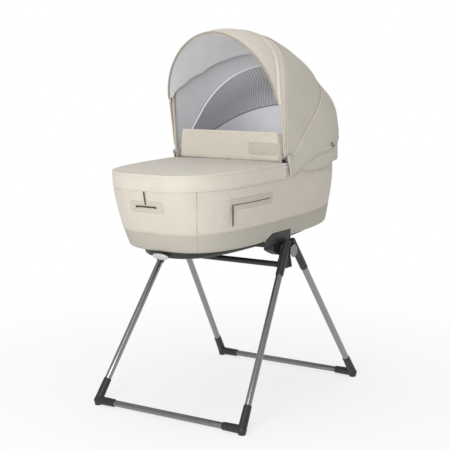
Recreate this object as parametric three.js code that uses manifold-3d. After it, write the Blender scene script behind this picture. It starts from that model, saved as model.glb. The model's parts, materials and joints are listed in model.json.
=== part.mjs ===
// Bassinet on stand: a soft-sided cot with a folding hood, resting on a folding A-frame stand.
// Millimetres, +Z up. X runs from the foot end (-X) to the head end (+X), Y from side to side.
// The origin is on the floor, midway between the four feet, under the stand's pivots.
import * as THREE from "three";
import { mergeVertices } from "three/addons/utils/BufferGeometryUtils.js";
import Module from "manifold-3d";

const wasm = await Module();
wasm.setup();

// ---------- driving dimensions ----------
const fitGap = 0.4; // between pieces that touch

// Stand
const footReach = 330; // foot centre from the pivots, along X
const footSpread = 246; // foot centre from the middle, along Y
const baseHeight = 14; // axis of the base tubes
const pivotHeight = 448;
const apexAbovePivot = 44; // where the axes of front and rear legs would meet
const apexSpread = 198; // leg axis from the middle, at that height
const legRadius = 9.5;
const legWall = 1.5;
const baseRadius = 9;
const sleeveRadius = legRadius + 2;
const footRadius = legRadius + 3;
const legSleeveLength = 68; // foot connector, along the leg
const baseSleeveLength = 60; // foot connector, along the base tube
const hubSleeveLength = 109;
const hubSleeveTop = 19.4; // the sleeve ends this far short of the apex
const earMargin = 10; // from an ear's edge to the leg's axis
const earThickness = 3.6;
const capRadius = 19;
const capThickness = 2.6;
const boltRadius = 4;
const spacerRadius = 7.5;
const plateThickness = 6.5;
const plateBottom = pivotHeight - 55;
const plateTop = pivotHeight + 19;
const crossBarHeight = pivotHeight - 45;
const crossBarRadius = 8.7;
const catchHeight = pivotHeight - 27;
const catchRadius = 5;
const catchLength = 13;
const adapterLength = 106;
const adapterCentre = -8; // along X
const adapterInner = 149; // inner face from the middle
const adapterTop = pivotHeight + 20;
const tongueLength = 46;
const tongueHeight = 12;
const tongueWidth = 14;

// Cot
const cotPitch = 0.02; // rise toward the head per unit of length
const planPower = 3.3; // squareness of the outline seen from above
const bottomLevel = adapterTop + 16;
const rimLevel = bottomLevel + 202;
const rimHalfLength = 427;
const rimHalfWidth = 194.5;
const bottomInsetLength = 55; // how much the bottom is shorter than the rim, at each end
const bottomInsetWidth = 13.5;
const bottomShift = 13; // the bottom sits nearer the head
const taperPower = 1.6;
const bottomRound = 9;
const wallThickness = 4;
const floorThickness = 5;
const bandTop = bottomLevel + 54; // lower leatherette band
const bandThickness = 1.6;
const liningThickness = 2;
const mattressThickness = 32;
const mattressMargin = 14;
const rimSection = 8;
const trayBottom = bottomLevel - 22;
const trayHalfLength = 350;
const trayHalfWidth = 138;
const trayWall = 3;
const receiverCentre = -35;
const receiverLength = 144;
const receiverTop = bottomLevel + 22;
const receiverFace = 3.4; // thickness of the face that shows in the band's notch
const knobLength = 51;
const knobWidth = 27;
const knobThickness = 9;

// Cover over the foot end
const apronThickness = 2;
const apronHem = rimLevel - 30;
const apronTop = rimLevel + 11.5;
const apronCrown = 4;
const apronEnd = -12; // where the cover stops, along X
const flapHeight = 81;
const flapThickness = 8;
const flapHalfWidth = 179;
const flapTaper = 8;
const flapHingeHeight = rimLevel + 19;

// Hood
const hoodPivotX = -9;
const hoodPivotZ = rimLevel + 16;
const hoodHalfWidth = 199;
const hoodThickness = 2;
const hoodLayer = 3; // radial step from one nesting panel to the next
const hoodLeg = 173; // straight lower part of each bow, from the pivot
const hoodHem = rimLevel - 18;
const bowWidth = 12;
const bowThickness = 3;
const bowHub = 8; // radius of the eye at each end of a bow
const pinRadius = 3;
const rearBowAngle = 38; // seam between the middle and rear panels, degrees from level
const zipAngle = 9;
const visorFrontAngle = 104;
const visorAxisX = -44;
const visorAxisZ = hoodPivotZ + 183;
const visorHalfWidth = 184.4;
const windowTopAngle = 35;
const windowBottomAngle = 18;
const windowSpread = 0.72; // share of each arch that the window takes

const midInset = hoodLayer; // how deep each nesting layer lies under the outermost
const bandInset = 2 * hoodLayer;
const midBowInset = midInset + hoodThickness + fitGap;
const frontBowInset = midBowInset + bowThickness + fitGap + 0.2;
const visorInset = bandInset + hoodThickness + fitGap * 2;
const bracketOuter = hoodHalfWidth - frontBowInset - bowThickness - fitGap - 0.6;
const bracketThickness = 4;

const ringX = rimHalfLength - 165; // middle of the ring pull on the hood's side
const ringZ = hoodPivotZ + 34;
const ringSpread = 197.6;
const ringTilt = 0.3;
const ringTurn = -0.07;

// Fittings on the cot
const sideZipHeight = rimLevel - 74;
const sideZipStart = -284;
const sideZipEnd = -88;
const patchHeight = 30;
const patchThickness = 1.2;
const footPatchWidth = 108;
const footPatchHeight = rimLevel - 73;
const elasticRadius = 2;

// ---------- small helpers ----------
const degrees = Math.PI / 180;
const spot = (x, y, z) => new THREE.Vector3(x, y, z);
const range = (count) => Array.from({ length: count }, (_, i) => i);
const mix = (a, b, t) => a + (b - a) * t;

/** Value at x of the smooth line through the given [x, value] knots, level at each knot. */
function along(knots, x) {
  if (x <= knots[0][0]) return knots[0][1];
  for (let i = 1; i < knots.length; i++) {
    const [x0, v0] = knots[i - 1];
    const [x1, v1] = knots[i];
    if (x <= x1) return mix(v0, v1, THREE.MathUtils.smoothstep(x, x0, x1));
  }
  return knots.at(-1)[1];
}

/** Only the positions, with shared vertices merged. */
function bare(geometry) {
  const source = geometry.index ? geometry.toNonIndexed() : geometry.clone();
  const positions = new THREE.BufferGeometry();
  positions.setAttribute("position", source.getAttribute("position"));
  return mergeVertices(positions, 1e-3);
}

/** A geometry with its faces turned outward. */
function facingOut(geometry) {
  const p = geometry.getAttribute("position");
  const index = geometry.index.array;
  const corner = (i) => new THREE.Vector3().fromBufferAttribute(p, index[i]);
  let volume = 0;
  for (let i = 0; i < index.length; i += 3) volume += corner(i).dot(corner(i + 1).cross(corner(i + 2)));
  if (volume < 0) {
    for (let i = 0; i < index.length; i += 3) [index[i + 1], index[i + 2]] = [index[i + 2], index[i + 1]];
  }
  return geometry;
}

function fromFaces(points, faces) {
  const geometry = new THREE.BufferGeometry().setFromPoints(points);
  geometry.setIndex(faces);
  return facingOut(bare(geometry));
}

/** Closed surface through rings of equal point counts; capped at both ends, or running back to the start. */
function loft(rings, endless = false) {
  const count = rings[0].length;
  const points = rings.flat();
  const faces = [];
  const steps = endless ? rings.length : rings.length - 1;
  for (let i = 0; i < steps; i++) {
    const next = ((i + 1) % rings.length) * count;
    for (let j = 0; j < count; j++) {
      const k = (j + 1) % count;
      faces.push(i * count + j, i * count + k, next + k, i * count + j, next + k, next + j);
    }
  }
  if (!endless) {
    for (const end of [0, rings.length - 1]) {
      const centre = rings[end].reduce((sum, p) => sum.add(p), new THREE.Vector3()).divideScalar(count);
      const hub = points.push(centre) - 1;
      for (let j = 0; j < count; j++) {
        const pair = [end * count + j, end * count + ((j + 1) % count)];
        faces.push(hub, ...(end ? pair : pair.reverse()));
      }
    }
  }
  return fromFaces(points, faces);
}

/** Thick sheet between two grids of points with the same rows and columns. */
function slab(outer, inner) {
  const rows = outer.length;
  const cols = outer[0].length;
  const points = [...outer.flat(), ...inner.flat()];
  const at = (side, i, j) => side * rows * cols + i * cols + j;
  const faces = [];
  const quad = (a, b, c, d) => faces.push(a, b, c, a, c, d);
  for (let i = 0; i < rows - 1; i++) {
    for (let j = 0; j < cols - 1; j++) {
      quad(at(0, i, j), at(0, i, j + 1), at(0, i + 1, j + 1), at(0, i + 1, j));
      quad(at(1, i, j), at(1, i + 1, j), at(1, i + 1, j + 1), at(1, i, j + 1));
    }
    quad(at(0, i, 0), at(0, i + 1, 0), at(1, i + 1, 0), at(1, i, 0));
    quad(at(0, i + 1, cols - 1), at(0, i, cols - 1), at(1, i, cols - 1), at(1, i + 1, cols - 1));
  }
  for (let j = 0; j < cols - 1; j++) {
    quad(at(0, 0, j + 1), at(0, 0, j), at(1, 0, j), at(1, 0, j + 1));
    quad(at(0, rows - 1, j), at(0, rows - 1, j + 1), at(1, rows - 1, j + 1), at(1, rows - 1, j));
  }
  return fromFaces(points, faces);
}

/** manifold-3d solid of a closed geometry, for joining and cutting. */
function solid(geometry) {
  const g = facingOut(bare(geometry));
  const vertProperties = new Float32Array(g.getAttribute("position").array);
  return new wasm.Manifold(new wasm.Mesh({ numProp: 3, vertProperties, triVerts: new Uint32Array(g.index.array) }));
}

function geometryOf(made) {
  const mesh = made.getMesh();
  const points = range(mesh.numVert).map((i) => spot(...mesh.vertProperties.slice(i * 3, i * 3 + 3)));
  return fromFaces(points, [...mesh.triVerts]);
}

const joined = (...pieces) => pieces.map(solid).reduce((sum, piece) => sum.add(piece));
const cut = (body, ...tools) => geometryOf(tools.reduce((left, tool) => left.subtract(solid(tool)), body));

const box = (x0, x1, y0, y1, z0, z1) =>
  new THREE.BoxGeometry(x1 - x0, y1 - y0, z1 - z0).translate((x0 + x1) / 2, (y0 + y1) / 2, (z0 + z1) / 2);

/** Cylinder from one point to another. */
function rod(from, to, radius, sides = 16, endRadius = radius) {
  const line = to.clone().sub(from);
  const turn = new THREE.Quaternion().setFromUnitVectors(spot(0, 1, 0), line.clone().normalize());
  return new THREE.CylinderGeometry(endRadius, radius, line.length(), sides)
    .applyQuaternion(turn)
    .translate(...from.clone().add(to).divideScalar(2));
}

/** Open tube from one point to another. */
function tube(from, to, radius, wall, sides = 16) {
  const along = to.clone().sub(from).normalize();
  const past = along.clone().multiplyScalar(1);
  return cut(solid(rod(from, to, radius, sides)), rod(from.clone().sub(past), to.clone().add(past), radius - wall, sides));
}

/** Outline in the X-Z plane, as [x, z] corners, made thick from y0 to y1. */
function plateXZ(corners, y0, y1) {
  const shape = new THREE.Shape(corners.map(([x, z]) => new THREE.Vector2(x, z)));
  return new THREE.ExtrudeGeometry(shape, { depth: Math.abs(y1 - y0), bevelEnabled: false, curveSegments: 8 })
    .rotateX(90 * degrees)
    .translate(0, Math.max(y0, y1), 0);
}

/** Round disc with its axis along Y. */
const disc = (x, z, y0, y1, radius, sides = 28) => rod(spot(x, y0, z), spot(x, y1, z), radius, sides);

const root = new THREE.Group();

function finish(color, roughness, metalness = 0) {
  return new THREE.MeshStandardMaterial({ color, roughness, metalness });
}

const plastic = finish(0x2a292b, 0.5);
const aluminium = finish(0xb4b5b8, 0.32, 1);
const satin = finish(0xbfc0c4, 0.35, 0.6);
const greyCap = finish(0x787a76, 0.5);
const fabric = finish(0xd3ccbf, 0.9);
const leatherette = finish(0xb4aea0, 0.6);
const liner = finish(0xc9c9cb, 0.9);
const meshCloth = finish(0x9a9a9c, 0.8);
const elastic = finish(0x2b2520, 0.8);

function piece(name, geometry, material) {
  const mesh = new THREE.Mesh(geometry, material);
  mesh.name = name;
  geometry.computeVertexNormals();
  root.add(mesh);
}

const sides = [
  ["left", 1],
  ["right", -1],
]; // left is +Y

// ---------- stand ----------
const apexHeight = pivotHeight + apexAbovePivot;

/** Point on a leg's axis at a height; end is -1 for the front legs, +1 for the rear. */
function legPoint(end, side, height) {
  const t = (apexHeight - height) / (apexHeight - baseHeight);
  return spot(end * footReach * t, side * mix(apexSpread, footSpread, t), height);
}

/** Layers of the hub, from the middle outward. */
const hubSpread = legPoint(1, 1, pivotHeight).y;
const legLean = Math.atan2(footReach, apexHeight - baseHeight);
const sleeveOffset = apexAbovePivot * Math.sin(legLean); // from the pivot to a leg's axis
const earRadius = sleeveOffset - earMargin;
const sleeveDip = Math.sqrt(sleeveRadius ** 2 - (sleeveOffset - earRadius) ** 2); // where an ear passes it
const earRoom = 1.6;
const frontEarOuter = hubSpread - sleeveDip - earRoom;
const plateOuter = apexSpread - sleeveRadius + 0.5;
const frontEarInner = plateOuter + fitGap;
const rearEarInner = hubSpread + sleeveDip + earRoom;
const rearEarOuter = rearEarInner + earThickness;
const plateInner = plateOuter - plateThickness;

function legTube(end, side) {
  const low = legPoint(end, side, baseHeight + footRadius + 4);
  const high = legPoint(end, side, apexHeight - hubSleeveTop - 8);
  return tube(low, high, legRadius, legWall);
}

function footConnector(end, side) {
  const corner = legPoint(end, side, baseHeight);
  const up = legPoint(end, side, apexHeight).sub(corner).normalize();
  const top = corner.clone().addScaledVector(up, legSleeveLength);
  const inner = corner.clone().add(spot(0, -side * baseSleeveLength, 0));
  const sole = rod(spot(corner.x, corner.y, 0), spot(corner.x, corner.y, baseHeight), footRadius - 2, 12, footRadius);
  const body = joined(
    rod(corner, top, footRadius, 12, sleeveRadius),
    rod(corner, inner, footRadius, 12, footRadius - 1),
    new THREE.SphereGeometry(footRadius + 1, 12, 6).translate(...corner),
    sole,
  );
  const bore = rod(corner.clone().addScaledVector(up, footRadius), top.clone().addScaledVector(up, 2), legRadius + fitGap);
  const socket = rod(corner.clone().add(spot(0, -side * 8, 0)), inner.clone().add(spot(0, -side * 2, 0)), baseRadius + fitGap);
  const under = box(corner.x - 40, corner.x + 40, corner.y - 90, corner.y + 90, -40, 0);
  return cut(body, bore, socket, under);
}

function baseTube(end) {
  const reach = footSpread - 12;
  return tube(spot(end * footReach, -reach, baseHeight), spot(end * footReach, reach, baseHeight), baseRadius, legWall);
}

/** Sleeve at the top of a leg with the ear that turns on the pivot bolt. */
function hubSocket(end, side) {
  const apex = legPoint(end, side, apexHeight);
  const down = legPoint(end, side, baseHeight).sub(apex).normalize();
  const top = apex.clone().addScaledVector(down, hubSleeveTop);
  const low = top.clone().addScaledVector(down, hubSleeveLength);
  const [near, far] = end < 0 ? [frontEarInner, frontEarOuter] : [rearEarInner, rearEarOuter];
  const sleeveAt = (height) => legPoint(end, side, height).x;
  const web = plateXZ(
    [
      [0, pivotHeight + earRadius],
      [sleeveAt(pivotHeight + 14), pivotHeight + 14],
      [sleeveAt(pivotHeight - 42), pivotHeight - 42],
      [end * 12, pivotHeight - earRadius + 4],
      [0, pivotHeight - earRadius],
    ],
    side * near,
    side * far,
  );
  const body = joined(
    rod(top, low, sleeveRadius),
    disc(0, pivotHeight, side * near, side * far, earRadius),
    web,
  );
  const bore = rod(top.clone().addScaledVector(down, 4), low.clone().addScaledVector(down, 2), legRadius + fitGap);
  const hole = disc(0, pivotHeight, side * (near - 1), side * (far + 1), boltRadius + fitGap, 16);
  return cut(body, bore, hole);
}

function hubPlate(side) {
  const outline = [
    [-40, plateBottom],
    [40, plateBottom],
    [24, pivotHeight],
    [17, plateTop],
    [-17, plateTop],
    [-24, pivotHeight],
  ];
  return cut(
    solid(plateXZ(outline, side * plateInner, side * plateOuter)),
    disc(0, pivotHeight, side * (plateInner - 1), side * (plateOuter + 1), boltRadius + fitGap, 16),
    disc(0, catchHeight, side * (plateInner - 1), side * (plateOuter + 1), catchRadius + fitGap, 16),
  );
}

const tongueMiddle = adapterInner + 16;
const tongueTop = adapterTop + tongueHeight;

function adapter(side) {
  const outer = plateInner - fitGap;
  const x0 = adapterCentre - adapterLength / 2;
  const x1 = adapterCentre + adapterLength / 2;
  const outline = [
    [x0, adapterTop - 14],
    [x0, adapterTop],
    [x1, adapterTop],
    [x1, adapterTop - 16],
    [20, adapterTop - 34],
    [-16, adapterTop - 34],
    [-38, adapterTop - 26],
    [x0 + 3, adapterTop - 17],
  ];
  const middle = side * tongueMiddle;
  const reach = tongueLength / 2;
  const tongue = box(
    adapterCentre - reach,
    adapterCentre + reach,
    middle - tongueWidth / 2,
    middle + tongueWidth / 2,
    adapterTop - 4,
    tongueTop,
  );
  const boltRoom = disc(0, pivotHeight, side * (outer - 8), side * (outer + 1), boltRadius + 4, 20);
  return cut(joined(plateXZ(outline, side * adapterInner, side * outer), tongue), boltRoom);
}

for (const [end, at] of [
  ["front", -1],
  ["rear", 1],
]) {
  piece(`${end}_base_tube`, baseTube(at), aluminium);
  for (const [side, y] of sides) {
    piece(`${end}_leg_${side}`, legTube(at, y), aluminium);
    piece(`${end}_foot_${side}`, footConnector(at, y), plastic);
    piece(`${end}_hub_socket_${side}`, hubSocket(at, y), plastic);
  }
}
piece(
  "cross_bar",
  rod(spot(0, -(plateInner - fitGap), crossBarHeight), spot(0, plateInner - fitGap, crossBarHeight), crossBarRadius),
  plastic,
);
for (const [side, y] of sides) {
  piece(`hub_plate_${side}`, hubPlate(y), plastic);
  piece(`adapter_${side}`, adapter(y), plastic);
  piece(
    `pivot_bolt_${side}`,
    disc(0, pivotHeight, y * (plateInner - fitGap - 5), y * (rearEarOuter - 0.2), boltRadius, 20),
    aluminium,
  );
  piece(
    `pivot_spacer_${side}`,
    cut(
      solid(disc(0, pivotHeight, y * (frontEarOuter + fitGap), y * (rearEarInner - fitGap), spacerRadius, 20)),
      disc(0, pivotHeight, y * frontEarOuter, y * rearEarInner, boltRadius + fitGap, 16),
    ),
    plastic,
  );
  const capInner = rearEarOuter + fitGap;
  const domed = [
    [0, 0],
    [capRadius, 0],
    [capRadius, capThickness * 0.5],
    [capRadius - 1.5, capThickness * 0.85],
    [capRadius * 0.5, capThickness],
    [0, capThickness],
  ].map(([r, h]) => new THREE.Vector2(r, h));
  const cap = facingOut(bare(new THREE.LatheGeometry(domed, 28)));
  cap.rotateX(y > 0 ? 0 : 180 * degrees).translate(0, y * capInner, pivotHeight);
  piece(`hub_cap_${side}`, cap, greyCap);
  piece(
    `release_catch_${side}`,
    disc(0, catchHeight, y * (plateInner + 1), y * (plateInner + 1 + catchLength), catchRadius, 20),
    plastic,
  );
}

// ---------- cot ----------
const planSteps = 36;

/** Half-length, half-width and centre of the cot's outside at a level. */
function outlineAt(level) {
  const up = Math.min(1, Math.max(0, (level - bottomLevel) / (rimLevel - bottomLevel)));
  const k = (1 - up) ** taperPower;
  return {
    centre: bottomShift * k,
    length: rimHalfLength - bottomInsetLength * k,
    width: rimHalfWidth - bottomInsetWidth * k,
  };
}

/** Ring of points with a rounded-rectangle outline, rising toward the head. */
function planRing(centre, halfLength, halfWidth, level, power = planPower) {
  return range(planSteps).map((i) => {
    const even = (i / planSteps) * 360 * degrees;
    const turn = even + 0.1 * Math.sin(4 * even); // closer together at the corners
    const c = Math.cos(turn);
    const s = Math.sin(turn);
    const r = (Math.abs(c) ** power + Math.abs(s) ** power) ** (-1 / power);
    const x = centre + halfLength * r * c;
    return spot(x, halfWidth * r * s, level + cotPitch * x);
  });
}

/** Ring on the cot's outside, moved outward by an offset; scale draws it in toward the centre. */
function wallRing(level, offset = 0, scale = 1, height = level) {
  const { centre, length, width } = outlineAt(level);
  return planRing(centre, (length + offset) * scale, (width + offset) * scale, height);
}

/** Point on the cot's long side wall at x, or on the foot end at y. */
function sideWall(x, level, side, offset) {
  const { centre, length, width } = outlineAt(level);
  const share = Math.abs((x - centre) / (length + offset)) ** planPower;
  return spot(x, side * (width + offset) * (1 - share) ** (1 / planPower), level + cotPitch * x);
}

function footWall(y, level, offset) {
  const { centre, length, width } = outlineAt(level);
  const share = Math.abs(y / (width + offset)) ** planPower;
  const x = centre - (length + offset) * (1 - share) ** (1 / planPower);
  return spot(x, y, level + cotPitch * x);
}

const lowLevel = bottomLevel + 28;
const bandLevels = [bottomLevel + 3, bottomLevel + 8, lowLevel];
const wallLevels = [rimLevel - 111, rimLevel - 66, rimLevel];
const floorTop = bottomLevel + floorThickness + 4;

/** How far the lower edge is drawn in at a level, where it rounds under. */
function edgeRound(level) {
  return bottomRound * Math.max(0, 1 - (level - bottomLevel) / 8) ** 2;
}

/** The shell is set in behind the lower band. */
const bandRecess = (level) => -bandThickness - fitGap - edgeRound(level);

/** Shape that shows in the notch of the cot's lower edge. */
function receiverOutline(grow) {
  const x0 = receiverCentre - receiverLength / 2 - grow;
  const x1 = receiverCentre + receiverLength / 2 + grow;
  return [
    [x0, adapterTop + 1],
    [x1, adapterTop + 1],
    [x1, receiverTop + grow],
    [x0 + 36, receiverTop + grow],
    [x0, receiverTop - 16 + grow],
  ];
}

const receiverOuter = outlineAt(receiverTop).width;
const receiverInner = receiverOuter - receiverFace;
const notch = (side) => plateXZ(receiverOutline(1), side * (receiverInner - fitGap), side * 230);

function bodyShell() {
  const inner = (level) => wallRing(level, -wallThickness);
  const shell = loft([
    ...[bottomLevel, ...bandLevels, bandTop + 1].map((z) => wallRing(z, bandRecess(z))),
    wallRing(bandTop + 2, 0),
    ...wallLevels.map((z) => wallRing(z)),
    ...[floorTop, lowLevel, bandTop, ...wallLevels].reverse().map(inner),
  ]);
  return cut(solid(shell), notch(1), notch(-1));
}

function lowerBand() {
  const levels = [...bandLevels, bandTop];
  const ring = loft(
    [
      ...levels.map((z) => wallRing(z, -edgeRound(z))),
      ...[...levels].reverse().map((z) => wallRing(z, -edgeRound(z) - bandThickness)),
    ],
    true,
  );
  return cut(solid(ring), notch(1), notch(-1));
}

function innerLining() {
  const outerOffset = -wallThickness - fitGap;
  const innerOffset = outerOffset - liningThickness;
  const base = floorTop + fitGap;
  const levels = [lowLevel, bandTop, ...wallLevels];
  return loft([
    wallRing(base, outerOffset),
    ...levels.map((z) => wallRing(z, outerOffset)),
    ...[...levels].reverse().map((z) => wallRing(z, innerOffset)),
    wallRing(base, innerOffset, 1, base + liningThickness),
  ]);
}

function mattress() {
  const base = floorTop + fitGap * 2 + liningThickness;
  const offset = -wallThickness - liningThickness - mattressMargin;
  const half = mattressThickness / 2;
  return loft([
    wallRing(floorTop, offset - 4, 1, base),
    wallRing(floorTop, offset, 1, base + 5),
    wallRing(floorTop, offset, 1, base + half),
    wallRing(floorTop, offset, 1, base + mattressThickness - 5),
    wallRing(floorTop, offset - 6, 1, base + mattressThickness),
  ]);
}

function rimFrame() {
  const low = rimLevel + fitGap;
  const high = low + rimSection - 1;
  return loft(
    [
      wallRing(rimLevel, 0, 1, low + 2),
      wallRing(rimLevel, 0, 1, high - 2),
      wallRing(rimLevel, -2, 1, high),
      wallRing(rimLevel, 2 - rimSection, 1, high),
      wallRing(rimLevel, -rimSection, 1, high - 2),
      wallRing(rimLevel, -rimSection, 1, low + 2),
      wallRing(rimLevel, 2 - rimSection, 1, low),
      wallRing(rimLevel, -2, 1, low),
    ],
    true,
  );
}

function trayRing(height, offset) {
  return planRing(8, trayHalfLength + offset, trayHalfWidth + offset, height, 3);
}

function baseTray() {
  const top = bottomLevel - fitGap;
  return loft([
    trayRing(trayBottom, -16),
    trayRing(trayBottom + 2, -8),
    trayRing(trayBottom + 8, -2),
    trayRing(top, 0),
    trayRing(top, -trayWall),
    trayRing(trayBottom + 8, -2 - trayWall),
    trayRing(trayBottom + trayWall + 1, -10 - trayWall),
  ]);
}

function receiver(side) {
  const x0 = receiverCentre - receiverLength / 2;
  const [y0, y1] = [side * (trayHalfWidth + 1), side * (receiverInner + 1)].sort((a, b) => a - b);
  const block = joined(
    plateXZ(receiverOutline(0), side * receiverInner, side * receiverOuter),
    box(x0, x0 + receiverLength, y0, y1, adapterTop + 1, bottomLevel - 3),
  );
  const room = tongueWidth / 2 + 1;
  const reach = tongueLength / 2 + 1;
  const middle = side * tongueMiddle;
  return cut(
    block,
    box(adapterCentre - reach, adapterCentre + reach, middle - room, middle + room, adapterTop - 9, tongueTop + 0.6),
  );
}

/** Oval knob under the foot end of the tray, facing down and forward. */
const knobTilt = 40 * degrees;
const knobCentre = spot(8 - trayHalfLength - 10, 0, trayBottom + 4);

function adjusterKnob() {
  const oval = (grow, height) =>
    range(28).map((i) => {
      const turn = (i / 28) * 360 * degrees;
      const x = (knobWidth / 2 + grow) * Math.cos(turn);
      return spot(x, (knobLength / 2 + grow) * Math.sin(turn), height);
    });
  const body = loft([
    oval(-4, 0),
    oval(0, -2),
    oval(0, -knobThickness + 3),
    oval(-3, -knobThickness + 0.8),
    oval(-8, -knobThickness),
  ]);
  return body.rotateY(knobTilt).translate(...knobCentre);
}

piece("body_shell", bodyShell(), fabric);
piece("lower_band", lowerBand(), leatherette);
piece("inner_lining", innerLining(), liner);
piece("mattress", mattress(), liner);
piece("rim_frame", rimFrame(), plastic);
piece("base_tray", baseTray(), plastic);
piece("adjuster_knob", adjusterKnob(), satin);
for (const [side, y] of sides) piece(`receiver_${side}`, receiver(y), plastic);

// ---------- fittings sewn to the cot ----------
/** Thin patch that follows a wall: place(u, v, offset) gives its points. */
function patch(place, across, up, thickness = patchThickness) {
  const grid = (offset) => range(up).map((i) => range(across).map((j) => place(j / (across - 1), i / (up - 1), offset)));
  return slab(grid(fitGap + thickness), grid(fitGap));
}

for (const [side, y] of sides) {
  const place = (u, v, offset) =>
    sideWall(mix(sideZipStart, sideZipEnd, u), sideZipHeight + (v - 0.5) * patchHeight, y, offset);
  piece(`zip_patch_${side}`, patch(place, 12, 3), leatherette);
  const top = sideWall(sideZipStart + 12, sideZipHeight - 2, y, fitGap * 4 + patchThickness);
  piece(
    `zip_puller_${side}`,
    box(top.x - 3.5, top.x + 3.5, Math.min(top.y, top.y + y * 2.5), Math.max(top.y, top.y + y * 2.5), top.z - 56, top.z),
    elastic,
  );
}

piece(
  "foot_patch",
  patch(
    (u, v, offset) => footWall((u - 0.5) * footPatchWidth, footPatchHeight + (v - 0.5) * patchHeight, offset),
    9,
    3,
  ),
  leatherette,
);

function footCord() {
  const reach = footPatchWidth / 2 - 24;
  const offset = fitGap * 2 + patchThickness + elasticRadius;
  const route = new THREE.CatmullRomCurve3(
    range(7).map((i) => footWall(mix(-reach, reach, i / 6), footPatchHeight + 1, offset)),
  );
  const section = new THREE.Shape().absarc(0, 0, elasticRadius, 0, 360 * degrees);
  return bare(new THREE.ExtrudeGeometry(section, { steps: 14, curveSegments: 4, extrudePath: route }));
}

piece("foot_cord", footCord(), elastic);

// ---------- cover over the foot end, with its stand-up flap ----------
const apronOffset = fitGap + 0.2;

function apron() {
  const out = apronOffset + apronThickness;
  const crown = (share, drop) => wallRing(rimLevel, out, share, apronTop + apronCrown * (1 - share * share) - drop);
  const shares = [0.97, 0.85, 0.6, 0.3];
  const lid = loft([
    ...[0.3, 0.6, 0.85].map((s) => crown(s, apronThickness)),
    wallRing(rimLevel, -2, 1, apronTop - apronThickness),
    wallRing(rimLevel, apronOffset, 1, apronTop - apronThickness - 1),
    wallRing(rimLevel, apronOffset),
    wallRing(apronHem, apronOffset),
    wallRing(apronHem, out),
    wallRing(rimLevel, out),
    wallRing(rimLevel, out, 1, apronTop - 2),
    wallRing(rimLevel, out - 1.5, 1, apronTop - 0.5),
    ...shares.map((s) => crown(s, 0)),
  ]);
  const pivotRoom = sides.map(([, y]) => {
    const [y0, y1] = [y * (bracketOuter - bracketThickness - 1), y * (rimHalfWidth - fitGap / 2)].sort((a, b) => a - b);
    return box(hoodPivotX - bowHub - 5, 0, y0, y1, rimLevel + rimSection - 2, 2000);
  });
  return cut(solid(lid), box(apronEnd, 600, -400, 400, 0, 2000), ...pivotRoom);
}

function apronFlap() {
  const corner = 14;
  const base = flapHalfWidth;
  const top = flapHalfWidth - flapTaper;
  const shape = new THREE.Shape();
  shape.moveTo(-base, 0);
  shape.lineTo(base, 0);
  shape.lineTo(top + 1, flapHeight - corner);
  shape.quadraticCurveTo(top, flapHeight, top - corner, flapHeight);
  shape.lineTo(corner - top, flapHeight);
  shape.quadraticCurveTo(-top, flapHeight, -top - 1, flapHeight - corner);
  const thick = { depth: flapThickness - 3, bevelThickness: 1.5, bevelSize: 1.5, bevelOffset: -1.5, bevelSegments: 2 };
  return bare(new THREE.ExtrudeGeometry(shape, { ...thick, curveSegments: 5 }))
    .translate(0, 0, -(flapThickness - 3) / 2)
    .rotateX(90 * degrees)
    .rotateZ(90 * degrees)
    .translate(apronEnd + 1, 0, flapHingeHeight);
}

piece("apron", apron(), fabric);
piece("apron_flap", apronFlap(), fabric);

// ---------- hood ----------
// The hood is a fan of arches about one pivot axis. An arch at an angle from level has two
// straight legs and a rounded top; its reach grows toward the head, so panels can nest.
const archReach = [
  [0, rimHalfLength + 19],
  [20, rimHalfLength + 31],
  [40, rimHalfLength - 22],
  [60, rimHalfLength - 39],
  [80, rimHalfLength - 43],
  [106, rimHalfLength - 41],
];
const archPower = [
  [0, 2.9],
  [40, 2.45],
  [75, 2],
  [104, 1.9],
];
const legShare = 0.22; // share of an arch's points on each leg
const legStart = 16;

/** Position along an arch: share -1 to 1 from the right leg's foot over the top to the left's. */
function archSpot(share, angle) {
  const straight = Math.abs(share) > 1 - legShare;
  const power = along(archPower, angle);
  const swing = Math.min(1, Math.abs(share) / (1 - legShare)) * 90 * degrees;
  const side = Math.sin(swing) ** (2 / power);
  const rise = Math.max(0, Math.cos(swing)) ** (2 / power);
  const down = straight ? (Math.abs(share) - 1 + legShare) / legShare : 0;
  return { side: Math.sign(share) * side, rise, down };
}

/** Point of the hood; angle may depend on how far out the point lies. */
function hoodPoint(share, angleOf, inset, foot = legStart, halfWidth = hoodHalfWidth - inset) {
  const rough = archSpot(share, 60);
  const angle = angleOf(Math.abs(rough.side));
  const { side, rise, down } = archSpot(share, angle);
  const reach = along(archReach, angle) - inset;
  const radius = mix(hoodLeg + (reach - hoodLeg) * rise, foot, down);
  return {
    at: spot(
      hoodPivotX + radius * Math.cos(angle * degrees),
      halfWidth * side,
      hoodPivotZ + radius * Math.sin(angle * degrees),
    ),
    radius,
    angle,
  };
}

const frontSeam = (out) => 82.5 + 17.5 * out ** 6; // between the visor and the front band
const bandSeam = (out) => 73 + 17.5 * out ** 4; // between the front band and the middle panel
const archSteps = 24;
const shares = (reach = 1) => range(archSteps + 1).map((i) => mix(-reach, reach, i / archSteps));

/** Panel between two seams. */
function hoodPanel(fromSeam, toSeam, rows, inset, reach = 1, thickness = hoodThickness, extra = {}) {
  const grid = (depth) =>
    range(rows + 1).map((i) =>
      shares(reach).map((share) => {
        const angleOf = (out) => mix(fromSeam(out), toSeam(out), i / rows);
        const width = extra.halfWidth ? extra.halfWidth - depth : undefined;
        return hoodPoint(share, angleOf, inset + depth, legStart, width).at;
      }),
    );
  return slab(grid(0), grid(thickness));
}

const constant = (angle) => () => angle;
const seamGap = 0.15; // degrees between neighbouring panels

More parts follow.
